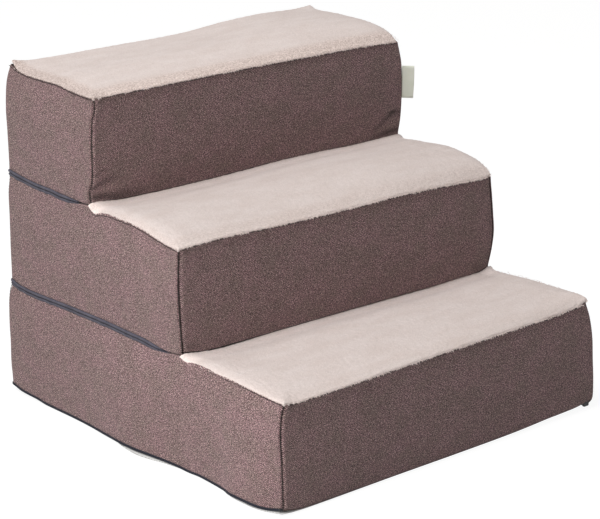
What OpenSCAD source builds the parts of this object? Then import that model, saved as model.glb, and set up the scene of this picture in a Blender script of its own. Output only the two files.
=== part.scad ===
/* [Stair] */
// Width of the stair across its corner seams
stair_w = 450; // [380:1:560]
// Depth of one tread, from its front seam to the next riser
tread_d = 155; // [130:1:220]
// Height of one step
step_h = 127; // [100:1:170]
// How far the corner seams bow out at mid height
corner_bow = 3; // [1:0.5:4]
// How far a side or rear panel swells beyond its seams
side_bulge = 4; // [1:0.5:6]
// How far a riser swells beyond its seams
riser_bulge = 3; // [1:0.5:4]
// How far a tread's front seam is pulled down by the riser
front_drop = 6; // [0:0.5:8]
// Height of a tread's crown above its seams
tread_crown = 7; // [3:0.5:11]
// How far the stuffed corners sink below a tread's seams
corner_dip = 3; // [0:0.5:4]

/* [Cloth and foam] */
// Thickness of the woven cover
woven_t = 1.2; // [0.8:0.1:1.8]
// Thickness of the plush on a tread
plush_t = 4; // [3:0.1:5]
// Thickness of the lining on a deck
lining_t = 1; // [0.6:0.1:1.6]
// Thickness of the grip cloth under the stair
grip_t = 2; // [1.5:0.1:2.1]
// Half the opening between two pieces sewn along one seam
seam_gap = 0.2; // [0.15:0.01:0.3]
// Space between the foam and the cloth round it
foam_gap = 0.5; // [0.45:0.01:0.8]
// Width of the foam's bevelled top and bottom edges
foam_bevel = 7; // [7:0.1:10]
// Space between two slabs that lie on each other
slab_gap = 0.3; // [0.25:0.01:0.5]
// Radius of the rolled seam that each slab folds on
fold_r = 1; // [0.8:0.05:1.2]

/* [Zips] */
// Visible half width of a zip between two slabs
zip_half = 3.6; // [3.2:0.1:4.5]
// Visible upper half width of the zip along the floor
floor_zip_half = 2.6; // [2.6:0.1:3.2]
// Height of the floor zip's middle line
floor_zip_z = 3.6; // [3.6:0.1:4]
// Plain stitched length between a riser and the end of its zip
seam_run = 18; // [14:1:26]
// Length over which the zip's opening narrows to its end
zip_taper = 12; // [9:0.5:16]
// Thickness of the zip tape
tape_t = 0.8; // [0.5:0.05:0.9]
// Thickness of the zip's row of teeth
teeth_t = 1.4; // [1:0.05:1.6]
// Height of one half of the row of teeth
teeth_h = 1.4; // [1:0.05:1.6]
// Radius of a zip's bend round a rear corner
zip_bend = 7; // [6:0.5:10]

/* [Sliders] */
// Length of a zip slider
slider_l = 11; // [9:0.5:14]
// Half height of a zip slider
slider_half = 2.4; // [2.1:0.05:2.4]
// Thickness of a slider's plate
plate_t = 1.1; // [0.8:0.05:1.3]
// Radius of the bar that a pull hangs on
bar_r = 0.7; // [0.6:0.05:0.8]
// Running clearance round that bar
bar_gap = 0.05; // [0.03:0.01:0.08]
// Length of a pull from its bar
pull_l = 22; // [16:0.5:28]
// Thickness of a pull
pull_t = 1.2; // [1:0.05:1.4]

/* [Label] */
// Height of the side label
label_h = 39; // [30:1:50]
// How far the label stands out of its seam
label_w = 18; // [12:0.5:24]
// Thickness of the folded label
label_t = 0.8; // [0.6:0.05:1.2]
// Depth of the label's top below the tread seam
label_drop = 40; // [20:1:60]

/* [Hidden] */

$fn = 48;
base = 1;
middle = 2;
top = 3;

// Sizes that follow from the stair, and an overrun for cuts
half_w = stair_w/2;
stair_d = top*tread_d;
rear_y = stair_d/2;
over = 1;

// How steeply cloth swells away from its seams, 1 being a plain arch
panel_swell_share = 1.3;
crown_swell_share = 0.45;
// A lower tread's crown rises from its front seam and dies out at the next riser
front_rise_share = 0.7;
rear_fall_share = 1.6;
crown_peak_share = front_rise_share/(front_rise_share + rear_fall_share);
// How close to a corner the tread's dip stays
dip_power_share = 6;
// How fast a lower tread's seams rise from the front seam
drop_power_share = 2;
// How much of its front seam's drop the top tread keeps at the rear
rear_drop_share = 0.6;
// Cells across a panel, up a panel, along a tread and along a deck
cells_across = 12;
cells_up = 6;
tread_cells = 5;
deck_cells = 4;

// The fold seam under the front edge of the grip cloth
fold_gap = 0.2;
grip_fold_y = -stair_d/2 + fold_r + fold_gap;
grip_fold_z = fold_r + fold_gap;

// Places across a zip, from its face inwards
tape_sink = 0.3;
tape_x = half_w - tape_sink;
teeth_x = tape_x - tape_t - seam_gap/2;
zip_gap = 0.35;
zip_lead = 3;
grip_strip_w = 5.2;
grip_strip_t = 0.7;
// Places across a slider
plate_gap = 0.2;
plate_x = tape_x + plate_gap;
inner_plate_x = teeth_x - teeth_t - plate_gap;
web_t = 0.3;
web_l = 5;
lip_h = 0.4;
lip_w = 0.6;
slider_gap = 0.6;
eye_wall = 1;
eye_half = 1.2;
eye_clear = 0.35;
bar_x = plate_x + plate_t + eye_clear + eye_wall + bar_gap + bar_r;
post_gap = 0.3;
post_t = 0.8;
pull_half = 2.3;
neck_l = 3;
// The stops at a zip's ends
stop_l = 2;
stop_t = 0.7;
end_block_w = 8;
end_block_t = 1.5;
end_block_gap = 0.8;

function span(a, b, s) = a + (b - a)*s;
function swell(s, power) = pow(max(0, sin(180*s)), power);
function bow(v) = corner_bow*swell(v, panel_swell_share);
function front_y(n) = (n - 1)*tread_d - stair_d/2;
function low_z(n) = (n - 1)*step_h;
function top_z(n) = n*step_h;
// Share of the way across the stair, and from a slab's riser to its rear
function across(x) = (x + half_w)/stair_w;
function along(n, y) = (y - front_y(n))/(rear_y - front_y(n));
// Share of a run that still counts as its low or high end
end_share = 0.001;
function at_low(s) = s < end_share;
function at_high(s) = s > 1 - end_share;
// Inset of a mitred edge: positive at the low end of a run, negative at its high end
function mitre(s, inset) = at_low(s) ? inset : at_high(s) ? -inset : 0;

// Stations across the stair, along a tread and along the deck behind it
xs = [for (i = [0:cells_across]) span(-half_w, half_w, i/cells_across)];
function tread_ys(n) = concat(
    [front_y(n), front_y(n) + seam_run],
    [for (i = [0:tread_cells]) span(front_y(n) + seam_run + zip_taper, front_y(n) + tread_d, i/tread_cells)]
);
function deck_ys(n) = n == top ? [] : concat(
    [front_y(n + 1) + seam_run],
    [for (i = [0:deck_cells]) span(front_y(n + 1) + seam_run + zip_taper, rear_y, i/deck_cells)]
);
function panel_ys(n) = concat(tread_ys(n), deck_ys(n));

// Height of a tread's crown, and the dip at its stuffed corners
function lower_crown(s) = at_low(s) || at_high(s) ? 0 :
    pow(s, front_rise_share)*pow(1 - s, rear_fall_share)
    /pow(crown_peak_share, front_rise_share)/pow(1 - crown_peak_share, rear_fall_share);
function tread_share(n, y) = (y - front_y(n))/tread_d;
function crown(n, x, y) = tread_crown*swell(across(x), crown_swell_share)
    *(n == top ? swell(tread_share(n, y), crown_swell_share) : lower_crown(tread_share(n, y)));
function drop(n, y) = front_drop*(n == top ? span(1, rear_drop_share, tread_share(n, y))
    : pow(max(0, 1 - tread_share(n, y)), drop_power_share));
function dip_along(n, s) = n == top ? pow(abs(s - (1 - s)), dip_power_share)
    : pow(max(0, 1 - s), dip_power_share);
function dip(n, x, y) = corner_dip*pow(abs(x)/half_w, dip_power_share)*dip_along(n, tread_share(n, y));

// Half the opening that a side panel leaves for the zip below slab n
function opening(n, y) = zip_half*min(1, max(0, (y - front_y(n) - seam_run)/zip_taper));
function side_low(n, y) = n == base ? floor_zip_z + floor_zip_half + seam_gap
    : low_z(n) + seam_gap + opening(n, y);
function side_high(n, y, w) = top_z(n) - seam_gap - w*woven_t
    - (n == top ? 0 : opening(n + 1, y)) - dip(n, half_w, y) - drop(n, y);

// A closed skin over a lattice of nu by nv by nw cells, its points listed w first, then v, then u
function at(i, j, k, nv, nw) = (i*(nv + 1) + j)*(nw + 1) + k;
function facing(a, b, c, d) = [[a, b, c], [a, c, d]];
module lattice(points, nu, nv, nw) {
    low_w = [for (i = [0:nu - 1], j = [0:nv - 1]) each facing(at(i, j, 0, nv, nw),
        at(i + 1, j, 0, nv, nw), at(i + 1, j + 1, 0, nv, nw), at(i, j + 1, 0, nv, nw))];
    high_w = [for (i = [0:nu - 1], j = [0:nv - 1]) each facing(at(i, j, nw, nv, nw),
        at(i, j + 1, nw, nv, nw), at(i + 1, j + 1, nw, nv, nw), at(i + 1, j, nw, nv, nw))];
    low_u = [for (j = [0:nv - 1], k = [0:nw - 1]) each facing(at(0, j, k, nv, nw),
        at(0, j + 1, k, nv, nw), at(0, j + 1, k + 1, nv, nw), at(0, j, k + 1, nv, nw))];
    high_u = [for (j = [0:nv - 1], k = [0:nw - 1]) each facing(at(nu, j, k, nv, nw),
        at(nu, j, k + 1, nv, nw), at(nu, j + 1, k + 1, nv, nw), at(nu, j + 1, k, nv, nw))];
    low_v = [for (i = [0:nu - 1], k = [0:nw - 1]) each facing(at(i, 0, k, nv, nw),
        at(i, 0, k + 1, nv, nw), at(i + 1, 0, k + 1, nv, nw), at(i + 1, 0, k, nv, nw))];
    high_v = [for (i = [0:nu - 1], k = [0:nw - 1]) each facing(at(i, nv, k, nv, nw),
        at(i + 1, nv, k, nv, nw), at(i + 1, nv, k + 1, nv, nw), at(i, nv, k + 1, nv, nw))];
    polyhedron(points = points, faces = concat(low_w, high_w, low_u, high_u, low_v, high_v));
}

// Left panel of slab n: one woven piece from its riser to the rear, tucked in at every seam
function side_point(n, y, v, w) =
    let (s = along(n, y))
    [
        w*woven_t - half_w - bow(v) - side_bulge*swell(s, panel_swell_share)*swell(v, panel_swell_share),
        y + bow(v)*(s - (1 - s)) + mitre(s, seam_gap + w*woven_t),
        span(side_low(n, y), side_high(n, y, w), v)
    ];
module left_panel(n) {
    ys = panel_ys(n);
    color("rosybrown") lattice(
        [for (y = ys, i = [0:cells_up], w = [0, 1]) side_point(n, y, i/cells_up, w)],
        len(ys) - 1, cells_up, 1);
}
module right_panel(n) {
    mirror([1, 0, 0]) left_panel(n);
}

// Riser of slab n: it hangs from the tread's front seam down to the fold seam
function riser_point(n, x, v, w) =
    let (s = across(x), low = n == base ? grip_fold_z : low_z(n))
    [
        x + bow(v)*x/half_w + mitre(s, seam_gap + w*woven_t),
        front_y(n) + w*woven_t - bow(v)
            - riser_bulge*swell(s, panel_swell_share)*swell(v, panel_swell_share),
        span(low + fold_r + fold_gap,
            top_z(n) - seam_gap - w*woven_t - dip(n, x, front_y(n)) - drop(n, front_y(n)), v)
    ];
module riser_panel(n) {
    color("dimgray") lattice(
        [for (i = [0:cells_up], x = xs, w = [0, 1]) riser_point(n, x, i/cells_up, w)],
        cells_up, cells_across, 1);
}

// Rear panel of slab n, between the zips
function rear_point(n, x, v, w) =
    let (s = across(x),
        low = n == base ? floor_zip_z + floor_zip_half + seam_gap : low_z(n) + seam_gap + zip_half,
        high = top_z(n) - seam_gap - w*woven_t
            - (n == top ? dip(n, x, rear_y) + drop(n, rear_y) : zip_half))
    [
        x + bow(v)*x/half_w + mitre(s, seam_gap + w*woven_t),
        rear_y - w*woven_t + bow(v)
            + side_bulge*swell(s, panel_swell_share)*swell(v, panel_swell_share),
        span(low, high, v)
    ];
module rear_panel(n) {
    color("rosybrown") lattice(
        [for (x = xs, i = [0:cells_up], w = [0, 1]) rear_point(n, x, i/cells_up, w)],
        cells_across, cells_up, 1);
}

// Plush tread of slab n: crowned over the foam, its thick edge mitred under the side seams
function tread_point(n, x, y, w) =
    let (s = tread_share(n, y), hinge_end = n < top && at_high(s))
    [
        x + mitre(across(x), seam_gap + w*plush_t),
        y + (hinge_end ? -fold_r - fold_gap : mitre(s, seam_gap + w*plush_t)),
        top_z(n) + crown(n, x, y) - dip(n, x, y) - drop(n, y) - w*plush_t
    ];
module tread(n) {
    ys = tread_ys(n);
    color("mistyrose") lattice(
        [for (y = ys, x = xs, w = [0, 1]) tread_point(n, x, y, w)],
        len(ys) - 1, cells_across, 1);
}

// Foam slab n: fills its cover, bevelled along the top and bottom edges where the zips need room
fold_clear = fold_r + fold_gap + foam_gap;
function foam_ys(n) = n == top ? tread_ys(n)
    : concat(tread_ys(n), [front_y(n + 1) + fold_clear, front_y(n + 1) + foam_bevel], deck_ys(n));
function foam_floor(n) = n == base ? grip_t + foam_gap : low_z(n) + slab_gap;
function foam_roof(n, x, y) = n < top && y >= front_y(n + 1) + foam_bevel
    ? top_z(n) - slab_gap - lining_t - foam_gap
    : top_z(n) + crown(n, x, y) - dip(n, x, y) - drop(n, y) - plush_t - foam_gap;
function foam_level(n, x, y, k) =
    k == 0 ? foam_floor(n)
    : k == 1 ? foam_floor(n) + foam_bevel
    : k == 2 ? (foam_floor(n) + foam_roof(n, x, y))/2
    : k == 3 ? foam_roof(n, x, y) - foam_bevel
    : foam_roof(n, x, y);
// Share of the way up the panels round the foam, which begin and end beside the zips
function foam_rise(n, z) =
    let (low = n == base ? floor_zip_z + floor_zip_half : low_z(n) + zip_half)
    min(1, max(0, (z - low)/(top_z(n) - zip_half - low)));
function foam_point(n, x, y, k) =
    let (z = foam_level(n, x, y, k), v = foam_rise(n, z),
        s = along(n, y), t = across(x), arch = swell(v, panel_swell_share),
        edge = woven_t + foam_gap + (k == 0 || k == 4 ? foam_bevel : 0))
    [
        x + bow(v)*x/half_w + mitre(t, edge - side_bulge*swell(s, panel_swell_share)*arch),
        y + bow(v)*(s - (1 - s))
            + (at_low(s) ? edge - riser_bulge*swell(t, panel_swell_share)*arch : 0)
            - (at_high(s) ? edge - side_bulge*swell(t, panel_swell_share)*arch : 0),
        z
    ];
module foam(n) {
    ys = foam_ys(n);
    color("ivory") lattice(
        [for (x = xs, y = ys, k = [0:4]) foam_point(n, x, y, k)],
        cells_across, len(ys) - 1, 4);
}

// Plan of a slab cut square at the front and rounded at the two rear corners
module slab_plan(half, start, rear, bend) {
    translate([-half, start]) square([half + half, rear - bend - start]);
    translate([bend - half, start]) square([half + half - bend - bend, rear - start]);
    for (side = [-1, 1]) translate([side*(half - bend), rear - bend]) circle(r = bend);
}

// A strip that runs back along the left side, across the rear and forward along the right side
module round_strip(face, thick, low, high, start) {
    sink = half_w - face;
    translate([0, 0, low]) linear_extrude(high - low) difference() {
        slab_plan(face, start, rear_y - sink, zip_bend);
        slab_plan(face - thick, start - over, rear_y - sink - thick, zip_bend - thick);
    }
}

// Lining on the deck of slab n, under the next slab
module deck_lining(n) {
    inset = grip_strip_w + tape_sink;
    start = front_y(n + 1) + fold_r + fold_gap;
    color("gray") translate([0, 0, top_z(n) - slab_gap - lining_t]) linear_extrude(lining_t)
        slab_plan(half_w - inset, start, rear_y - inset, zip_bend);
}

// Rolled seam that slab n folds on
module fold_seam(n) {
    length = 2*(half_w - woven_t - seam_gap - fold_gap);
    y = n == base ? grip_fold_y : front_y(n);
    z = n == base ? grip_fold_z : low_z(n);
    color("dimgray") translate([0, y, z]) rotate([0, 90, 0])
        cylinder(h = length, r = fold_r, center = true);
}

// Wedge along a tape's tapered front ends, up or down from the zip's middle line
module taper_wedge(n, up) {
    tip_y = front_y(n) + seam_run;
    tall = zip_half + over;
    rotate([90, 0, 90]) linear_extrude(stair_w, center = true) polygon([
        [tip_y - over, low_z(n)],
        [tip_y, low_z(n)],
        [tip_y + zip_taper*tall/zip_half, low_z(n) + up*tall],
        [tip_y - over, low_z(n) + up*tall]
    ]);
}

// Half tape and half row of teeth of the zip under slab n, up 1 for the upper half and -1 for the lower
function zip_z(n) = n == base ? floor_zip_z : low_z(n);
function zip_start(n) = front_y(n) + (n == base ? zip_lead : seam_run + zip_lead);
module slab_tape(n, up) {
    near = low_z(n) + up*zip_gap;
    far = low_z(n) + up*zip_half;
    color("slategray") difference() {
        round_strip(tape_x, tape_t, min(near, far), max(near, far), zip_start(n));
        taper_wedge(n, up);
    }
}
module zip_teeth(n, up) {
    near = zip_z(n) + up*zip_gap;
    far = near + up*teeth_h;
    color("darkslategray")
        round_strip(teeth_x, teeth_t, min(near, far), max(near, far), zip_start(n) + zip_lead);
}
module floor_upper_tape() {
    color("slategray") round_strip(tape_x, tape_t, floor_zip_z + zip_gap,
        floor_zip_z + floor_zip_half, zip_start(base));
}
module floor_lower_tape() {
    low = seam_gap;
    color("slategray") {
        round_strip(tape_x, tape_t, low, floor_zip_z - zip_gap, zip_start(base));
        round_strip(tape_x, grip_strip_w, low, low + grip_strip_t, zip_start(base));
    }
}

// Stops across the lower tape at both ends of a zip
module zip_stops(n) {
    color("black") for (side = [-1, 1])
        translate([side > 0 ? tape_x : -tape_x - stop_t, zip_start(n), zip_z(n) - zip_gap - teeth_h/2])
            cube([stop_t, stop_l, teeth_h/2]);
}
// The floor zip's stops ride on its upper tape, and its right end has a block under the front corner
module floor_stops() {
    color("black") {
        for (side = [-1, 1])
            translate([side > 0 ? tape_x : -tape_x - stop_t, zip_start(base), floor_zip_z + zip_gap])
                cube([stop_t, stop_l, teeth_h]);
        translate([half_w - end_block_w - woven_t, front_y(base) - end_block_t - end_block_gap, fold_gap])
            cube([end_block_w, end_block_t, floor_zip_z + zip_gap + teeth_h]);
    }
}

// Slider parked at the closed end: two plates joined by a web that runs between the rows of teeth,
// with a lip round the half that it stays on
function slider_y(n) = zip_start(n) + zip_lead + stop_l + slider_l/2 + slider_gap;
module plate(depth) {
    straight = slider_l - 2*slider_half;
    rotate([90, 0, 90]) linear_extrude(depth) union() {
        translate([-straight/2, -slider_half]) square([straight, 2*slider_half]);
        for (side = [-1, 1]) translate([side*straight/2, 0]) circle(r = slider_half);
    }
}
module slider(n) {
    lip_z = n == base ? slider_half - lip_h : -slider_half;
    color("black") translate([0, slider_y(n), zip_z(n)]) {
        translate([plate_x, 0, 0]) plate(plate_t);
        translate([inner_plate_x - plate_t, 0, 0]) plate(plate_t);
        translate([inner_plate_x - plate_t, -web_l/2, -web_t/2])
            cube([plate_x - inner_plate_x + plate_t + plate_t, web_l, web_t]);
        translate([inner_plate_x - plate_t, -web_l/2, lip_z])
            cube([plate_t + lip_w, web_l, lip_h]);
        for (side = [-1, 1]) translate([0, 0, side*(eye_half + post_gap + post_t/2)])
            translate([plate_x, -bar_r - bar_gap, -post_t/2])
                cube([bar_x - plate_x + bar_r, bar_r + bar_r + bar_gap + bar_gap, post_t]);
        translate([bar_x, 0, 0]) cylinder(h = 2*(eye_half + post_gap) + post_t, r = bar_r, center = true);
    }
}

// Pull: an eye round the slider's bar, a neck and a flat round-ended tab
module pull(n) {
    eye_r = bar_r + bar_gap + eye_wall;
    tab_l = pull_l - neck_l - pull_half;
    color("black") translate([bar_x, slider_y(n), zip_z(n)]) difference() {
        union() {
            cylinder(h = 2*eye_half, r = eye_r, center = true);
            translate([-pull_t/2, 0, -eye_half]) cube([pull_t, neck_l + over, 2*eye_half]);
            translate([-pull_t/2, neck_l, -pull_half]) cube([pull_t, tab_l, 2*pull_half]);
            translate([-pull_t/2, pull_l - pull_half, 0]) rotate([0, 90, 0])
                cylinder(h = pull_t, r = pull_half);
        }
        cylinder(h = 2*(eye_half + over), r = bar_r + bar_gap, center = true);
    }
}

// Bare folded label caught in the right corner seam of the top riser
module side_label() {
    fold = label_t/2;
    color("beige") translate([half_w + corner_bow + seam_gap, front_y(top) - corner_bow,
                              top_z(top) - label_drop - label_h]) {
        translate([0, -fold, 0]) cube([label_w - fold, label_t, label_h]);
        translate([label_w - fold, 0, 0]) cylinder(h = label_h, r = fold);
    }
}

// Grip cloth: the flap that closes the stair's underside and stands on the floor
module grip_panel() {
    inset = grip_strip_w + tape_sink + seam_gap;
    color("lightgray") linear_extrude(grip_t)
        slab_plan(half_w - inset, grip_fold_y + fold_r + fold_gap, rear_y - inset, zip_bend);
}

foam(base);  // base_foam
left_panel(base);  // base_left_panel
right_panel(base);  // base_right_panel
riser_panel(base);  // base_riser_panel
rear_panel(base);  // base_rear_panel
tread(base);  // base_tread
deck_lining(base);  // base_deck_lining
fold_seam(base);  // base_fold_seam
foam(middle);  // middle_foam
left_panel(middle);  // middle_left_panel
right_panel(middle);  // middle_right_panel
riser_panel(middle);  // middle_riser_panel
rear_panel(middle);  // middle_rear_panel
tread(middle);  // middle_tread
deck_lining(middle);  // middle_deck_lining
fold_seam(middle);  // middle_fold_seam
foam(top);  // top_foam
left_panel(top);  // top_left_panel
right_panel(top);  // top_right_panel
riser_panel(top);  // top_riser_panel
rear_panel(top);  // top_rear_panel
tread(top);  // top_tread
fold_seam(top);  // top_fold_seam
side_label();
grip_panel();
floor_upper_tape();  // floor_zip_upper_tape
zip_teeth(base, 1);  // floor_zip_upper_teeth
floor_lower_tape();  // floor_zip_lower_tape
zip_teeth(base, -1);  // floor_zip_lower_teeth
floor_stops();  // floor_zip_stops
slider(base);  // floor_zip_slider
pull(base);  // floor_zip_pull
slab_tape(middle, 1);  // middle_zip_upper_tape
zip_teeth(middle, 1);  // middle_zip_upper_teeth
slab_tape(middle, -1);  // middle_zip_lower_tape
zip_teeth(middle, -1);  // middle_zip_lower_teeth
zip_stops(middle);  // middle_zip_stops
slider(middle);  // middle_zip_slider
pull(middle);  // middle_zip_pull
slab_tape(top, 1);  // top_zip_upper_tape
zip_teeth(top, 1);  // top_zip_upper_teeth
slab_tape(top, -1);  // top_zip_lower_tape
zip_teeth(top, -1);  // top_zip_lower_teeth
zip_stops(top);  // top_zip_stops
slider(top);  // top_zip_slider
pull(top);  // top_zip_pull
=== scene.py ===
import bpy, bmesh, math
import numpy as np
from mathutils import Matrix, Vector


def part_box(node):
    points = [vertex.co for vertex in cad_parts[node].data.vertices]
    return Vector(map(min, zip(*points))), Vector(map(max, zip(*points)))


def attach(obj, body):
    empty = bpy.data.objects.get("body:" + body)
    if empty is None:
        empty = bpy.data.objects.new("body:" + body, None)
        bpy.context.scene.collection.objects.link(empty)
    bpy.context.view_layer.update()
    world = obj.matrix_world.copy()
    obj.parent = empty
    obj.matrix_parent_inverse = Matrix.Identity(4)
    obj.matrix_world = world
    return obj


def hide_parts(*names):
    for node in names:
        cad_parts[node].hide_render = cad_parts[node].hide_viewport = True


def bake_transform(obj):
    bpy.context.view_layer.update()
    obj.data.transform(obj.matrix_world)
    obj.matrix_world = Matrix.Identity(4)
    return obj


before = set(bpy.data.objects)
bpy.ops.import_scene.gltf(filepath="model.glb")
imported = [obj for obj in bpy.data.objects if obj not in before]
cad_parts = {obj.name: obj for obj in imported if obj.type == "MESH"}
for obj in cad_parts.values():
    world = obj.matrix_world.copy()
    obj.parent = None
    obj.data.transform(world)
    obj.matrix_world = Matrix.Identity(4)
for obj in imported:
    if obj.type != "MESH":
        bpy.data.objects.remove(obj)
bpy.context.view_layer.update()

# Camera: a long lens a little above the top step, turned to the front left corner, so that
# the three risers and the whole left side show.
camera_azimuth, camera_elevation = math.radians(-41.096), math.radians(17.891)
looked_at, camera_distance = Vector((0.00057, -0.00048, 0.16678)), 2.3632
camera_back = Vector((math.sin(camera_azimuth) * math.cos(camera_elevation),
                      -math.cos(camera_azimuth) * math.cos(camera_elevation),
                      math.sin(camera_elevation)))
camera = bpy.data.objects.new("camera", bpy.data.cameras.new("camera"))
camera.data.lens = 126.93
camera.data.sensor_width = 36
camera.location = looked_at + camera_back * camera_distance
camera.rotation_euler = camera_back.to_track_quat("Z", "Y").to_euler()
bpy.context.scene.collection.objects.link(camera)
bpy.context.scene.camera = camera
bpy.context.scene.view_settings.view_transform = "Standard"

# Studio: a white floor that still takes the stair's shadow, an even white surround, and one
# wide soft lamp high on the left, and a small one low in front of the left side.
def wire(owner, kind, settings=None, **sockets):
    """Adds a shader node. Its inputs go by name, with _ for a space, or by number after a _."""
    made = owner.node_tree.nodes.new(kind)
    for name, value in (settings or {}).items():
        setattr(made, name, value)
    for name, value in sockets.items():
        socket = made.inputs[int(name[1:])] if name[1:].isdigit() else made.inputs[name.replace("_", " ")]
        if isinstance(value, bpy.types.NodeSocket):
            owner.node_tree.links.new(value, socket)
        else:
            socket.default_value = value
    return made


def seen_or_mirrored(owner):
    """1 where the camera looks straight on, or in a glossy piece or through glass, and else 0."""
    ray = wire(owner, "ShaderNodeLightPath").outputs
    seen = wire(owner, "ShaderNodeMath", {"operation": "MAXIMUM"}, _0=ray["Is Camera Ray"], _1=ray["Is Glossy Ray"])
    return wire(owner, "ShaderNodeMath", {"operation": "MAXIMUM"}, _0=seen.outputs[0],
                _1=ray["Is Transmission Ray"]).outputs[0]


studio_world = bpy.data.worlds.new("studio surround")
studio_world.use_nodes = True
studio_world.node_tree.nodes.clear()
bpy.context.scene.world = studio_world
seen_white = wire(studio_world, "ShaderNodeBackground", Color=(1, 1, 1, 1), Strength=1.0)
soft_light = wire(studio_world, "ShaderNodeBackground", Color=(1.0, 0.985, 0.97, 1), Strength=0.15)
surround = wire(studio_world, "ShaderNodeMixShader", Fac=seen_or_mirrored(studio_world),
                _1=soft_light.outputs[0], _2=seen_white.outputs[0])
wire(studio_world, "ShaderNodeOutputWorld", Surface=surround.outputs[0])

for lamp_name, across, watts, place, facing in (
        ("key lamp", 2.7, 190.0, (-1.94, -0.13, 4.25), (-0.44, -0.03, 0.90)),
        ("side lamp", 0.36, 2.0, (-0.85, -0.37, 0.17), (-0.625, -0.26, 0.02))):
    lamp = bpy.data.objects.new(lamp_name, bpy.data.lights.new(lamp_name, "AREA"))
    lamp.data.shape, lamp.data.size = "DISK", across
    lamp.data.energy = watts
    lamp.data.color = (1.0, 0.985, 0.965)
    lamp.location = place
    lamp.rotation_euler = Vector(facing).to_track_quat("Z", "Y").to_euler()
    bpy.context.scene.collection.objects.link(lamp)

# The floor bounces light as pale paper does; where it is seen, a glow lifts it to white and a
# darker paint keeps the stair's shadow on it.
floor_finish = bpy.data.materials.new("white floor")
floor_finish.use_nodes = True
floor_finish.node_tree.nodes.clear()
floor_bounce = wire(floor_finish, "ShaderNodeBsdfDiffuse", Color=(0.66, 0.655, 0.65, 1))
floor_shade = wire(floor_finish, "ShaderNodeBsdfDiffuse", Color=(0.13, 0.13, 0.13, 1))
floor_glow = wire(floor_finish, "ShaderNodeEmission", Strength=0.93)
floor_seen = wire(floor_finish, "ShaderNodeAddShader", _0=floor_shade.outputs[0], _1=floor_glow.outputs[0])
floor_mix = wire(floor_finish, "ShaderNodeMixShader", Fac=seen_or_mirrored(floor_finish),
                 _1=floor_bounce.outputs[0], _2=floor_seen.outputs[0])
wire(floor_finish, "ShaderNodeOutputMaterial", Surface=floor_mix.outputs[0])


def as_mesh(name, shape):
    """Turns a finished bmesh into mesh data."""
    data = bpy.data.meshes.new(name)
    shape.to_mesh(data)
    shape.free()
    return data


floor_shape = bmesh.new()
bmesh.ops.create_grid(floor_shape, x_segments=1, y_segments=1, size=6)
floor = bpy.data.objects.new("floor", as_mesh("floor", floor_shape))
floor.data.materials.append(floor_finish)
bpy.context.scene.collection.objects.link(floor)

# Foam: three slabs of cut polyurethane foam, off-white with fine open cells. They fill the
# covers loosely, and their edges are rounded off, which leaves room for the zips.
def cloth_finish(name, rough, sheen, sheen_rough=0.5):
    finish = bpy.data.materials.new(name)
    finish.use_nodes = True
    shader = finish.node_tree.nodes["Principled BSDF"]
    shader.inputs["Roughness"].default_value = rough
    shader.inputs["Specular IOR Level"].default_value = 0.25
    shader.inputs["Sheen Weight"].default_value = sheen
    shader.inputs["Sheen Roughness"].default_value = sheen_rough
    return finish, shader


def two_tones(finish, share, low, high, at=(0.0, 1.0)):
    ramp = wire(finish, "ShaderNodeValToRGB", Fac=share)
    ramp.color_ramp.elements[0].position, ramp.color_ramp.elements[1].position = at
    ramp.color_ramp.elements[0].color = (*low, 1)
    ramp.color_ramp.elements[1].color = (*high, 1)
    return ramp.outputs["Color"]


def dressed(finish, shader, colour, height=None, strength=0.5, distance=0.0003):
    """Gives a finish its colour and, where a height is given, the fine relief of its surface."""
    finish.node_tree.links.new(colour, shader.inputs["Base Color"])
    if height is None:
        return
    relief = wire(finish, "ShaderNodeBump", Height=height, Strength=strength, Distance=distance)
    finish.node_tree.links.new(relief.outputs[0], shader.inputs["Normal"])


foam_finish, foam_shader = cloth_finish("cut foam", 0.95, 0.1)
foam_place = wire(foam_finish, "ShaderNodeTexCoord").outputs["Object"]
foam_cells = wire(foam_finish, "ShaderNodeTexVoronoi", Vector=foam_place, Scale=620.0)
foam_cloud = wire(foam_finish, "ShaderNodeTexNoise", Vector=foam_place, Scale=30.0, Detail=3.0)
foam_tone = wire(foam_finish, "ShaderNodeMath", {"operation": "MULTIPLY_ADD"}, _0=foam_cloud.outputs[0], _1=0.6,
                 _2=foam_cells.outputs["Distance"])
foam_colour = two_tones(foam_finish, foam_tone.outputs[0], (0.72, 0.66, 0.50), (0.90, 0.85, 0.72), (0.2, 0.9))
dressed(foam_finish, foam_shader, foam_colour, foam_cells.outputs["Distance"], 0.6, 0.0006)


def finished(name, mesh, finish, body, slot, *nodes):
    """Makes a piece of the stair: it carries its finish, rides on its body and stands for its nodes, which it hides.
    Its slot is not used.
    """
    piece = bpy.data.objects.new(name, as_mesh(name, mesh))
    piece.data.materials.append(finish)
    for face in piece.data.polygons:
        face.use_smooth = True
    bpy.context.scene.collection.objects.link(piece)
    if body:
        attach(piece, body)
    if nodes:
        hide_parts(*nodes)
    return piece


slab_bodies = {"base": "base_step", "middle": "middle_step", "top": "top_step"}
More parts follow.
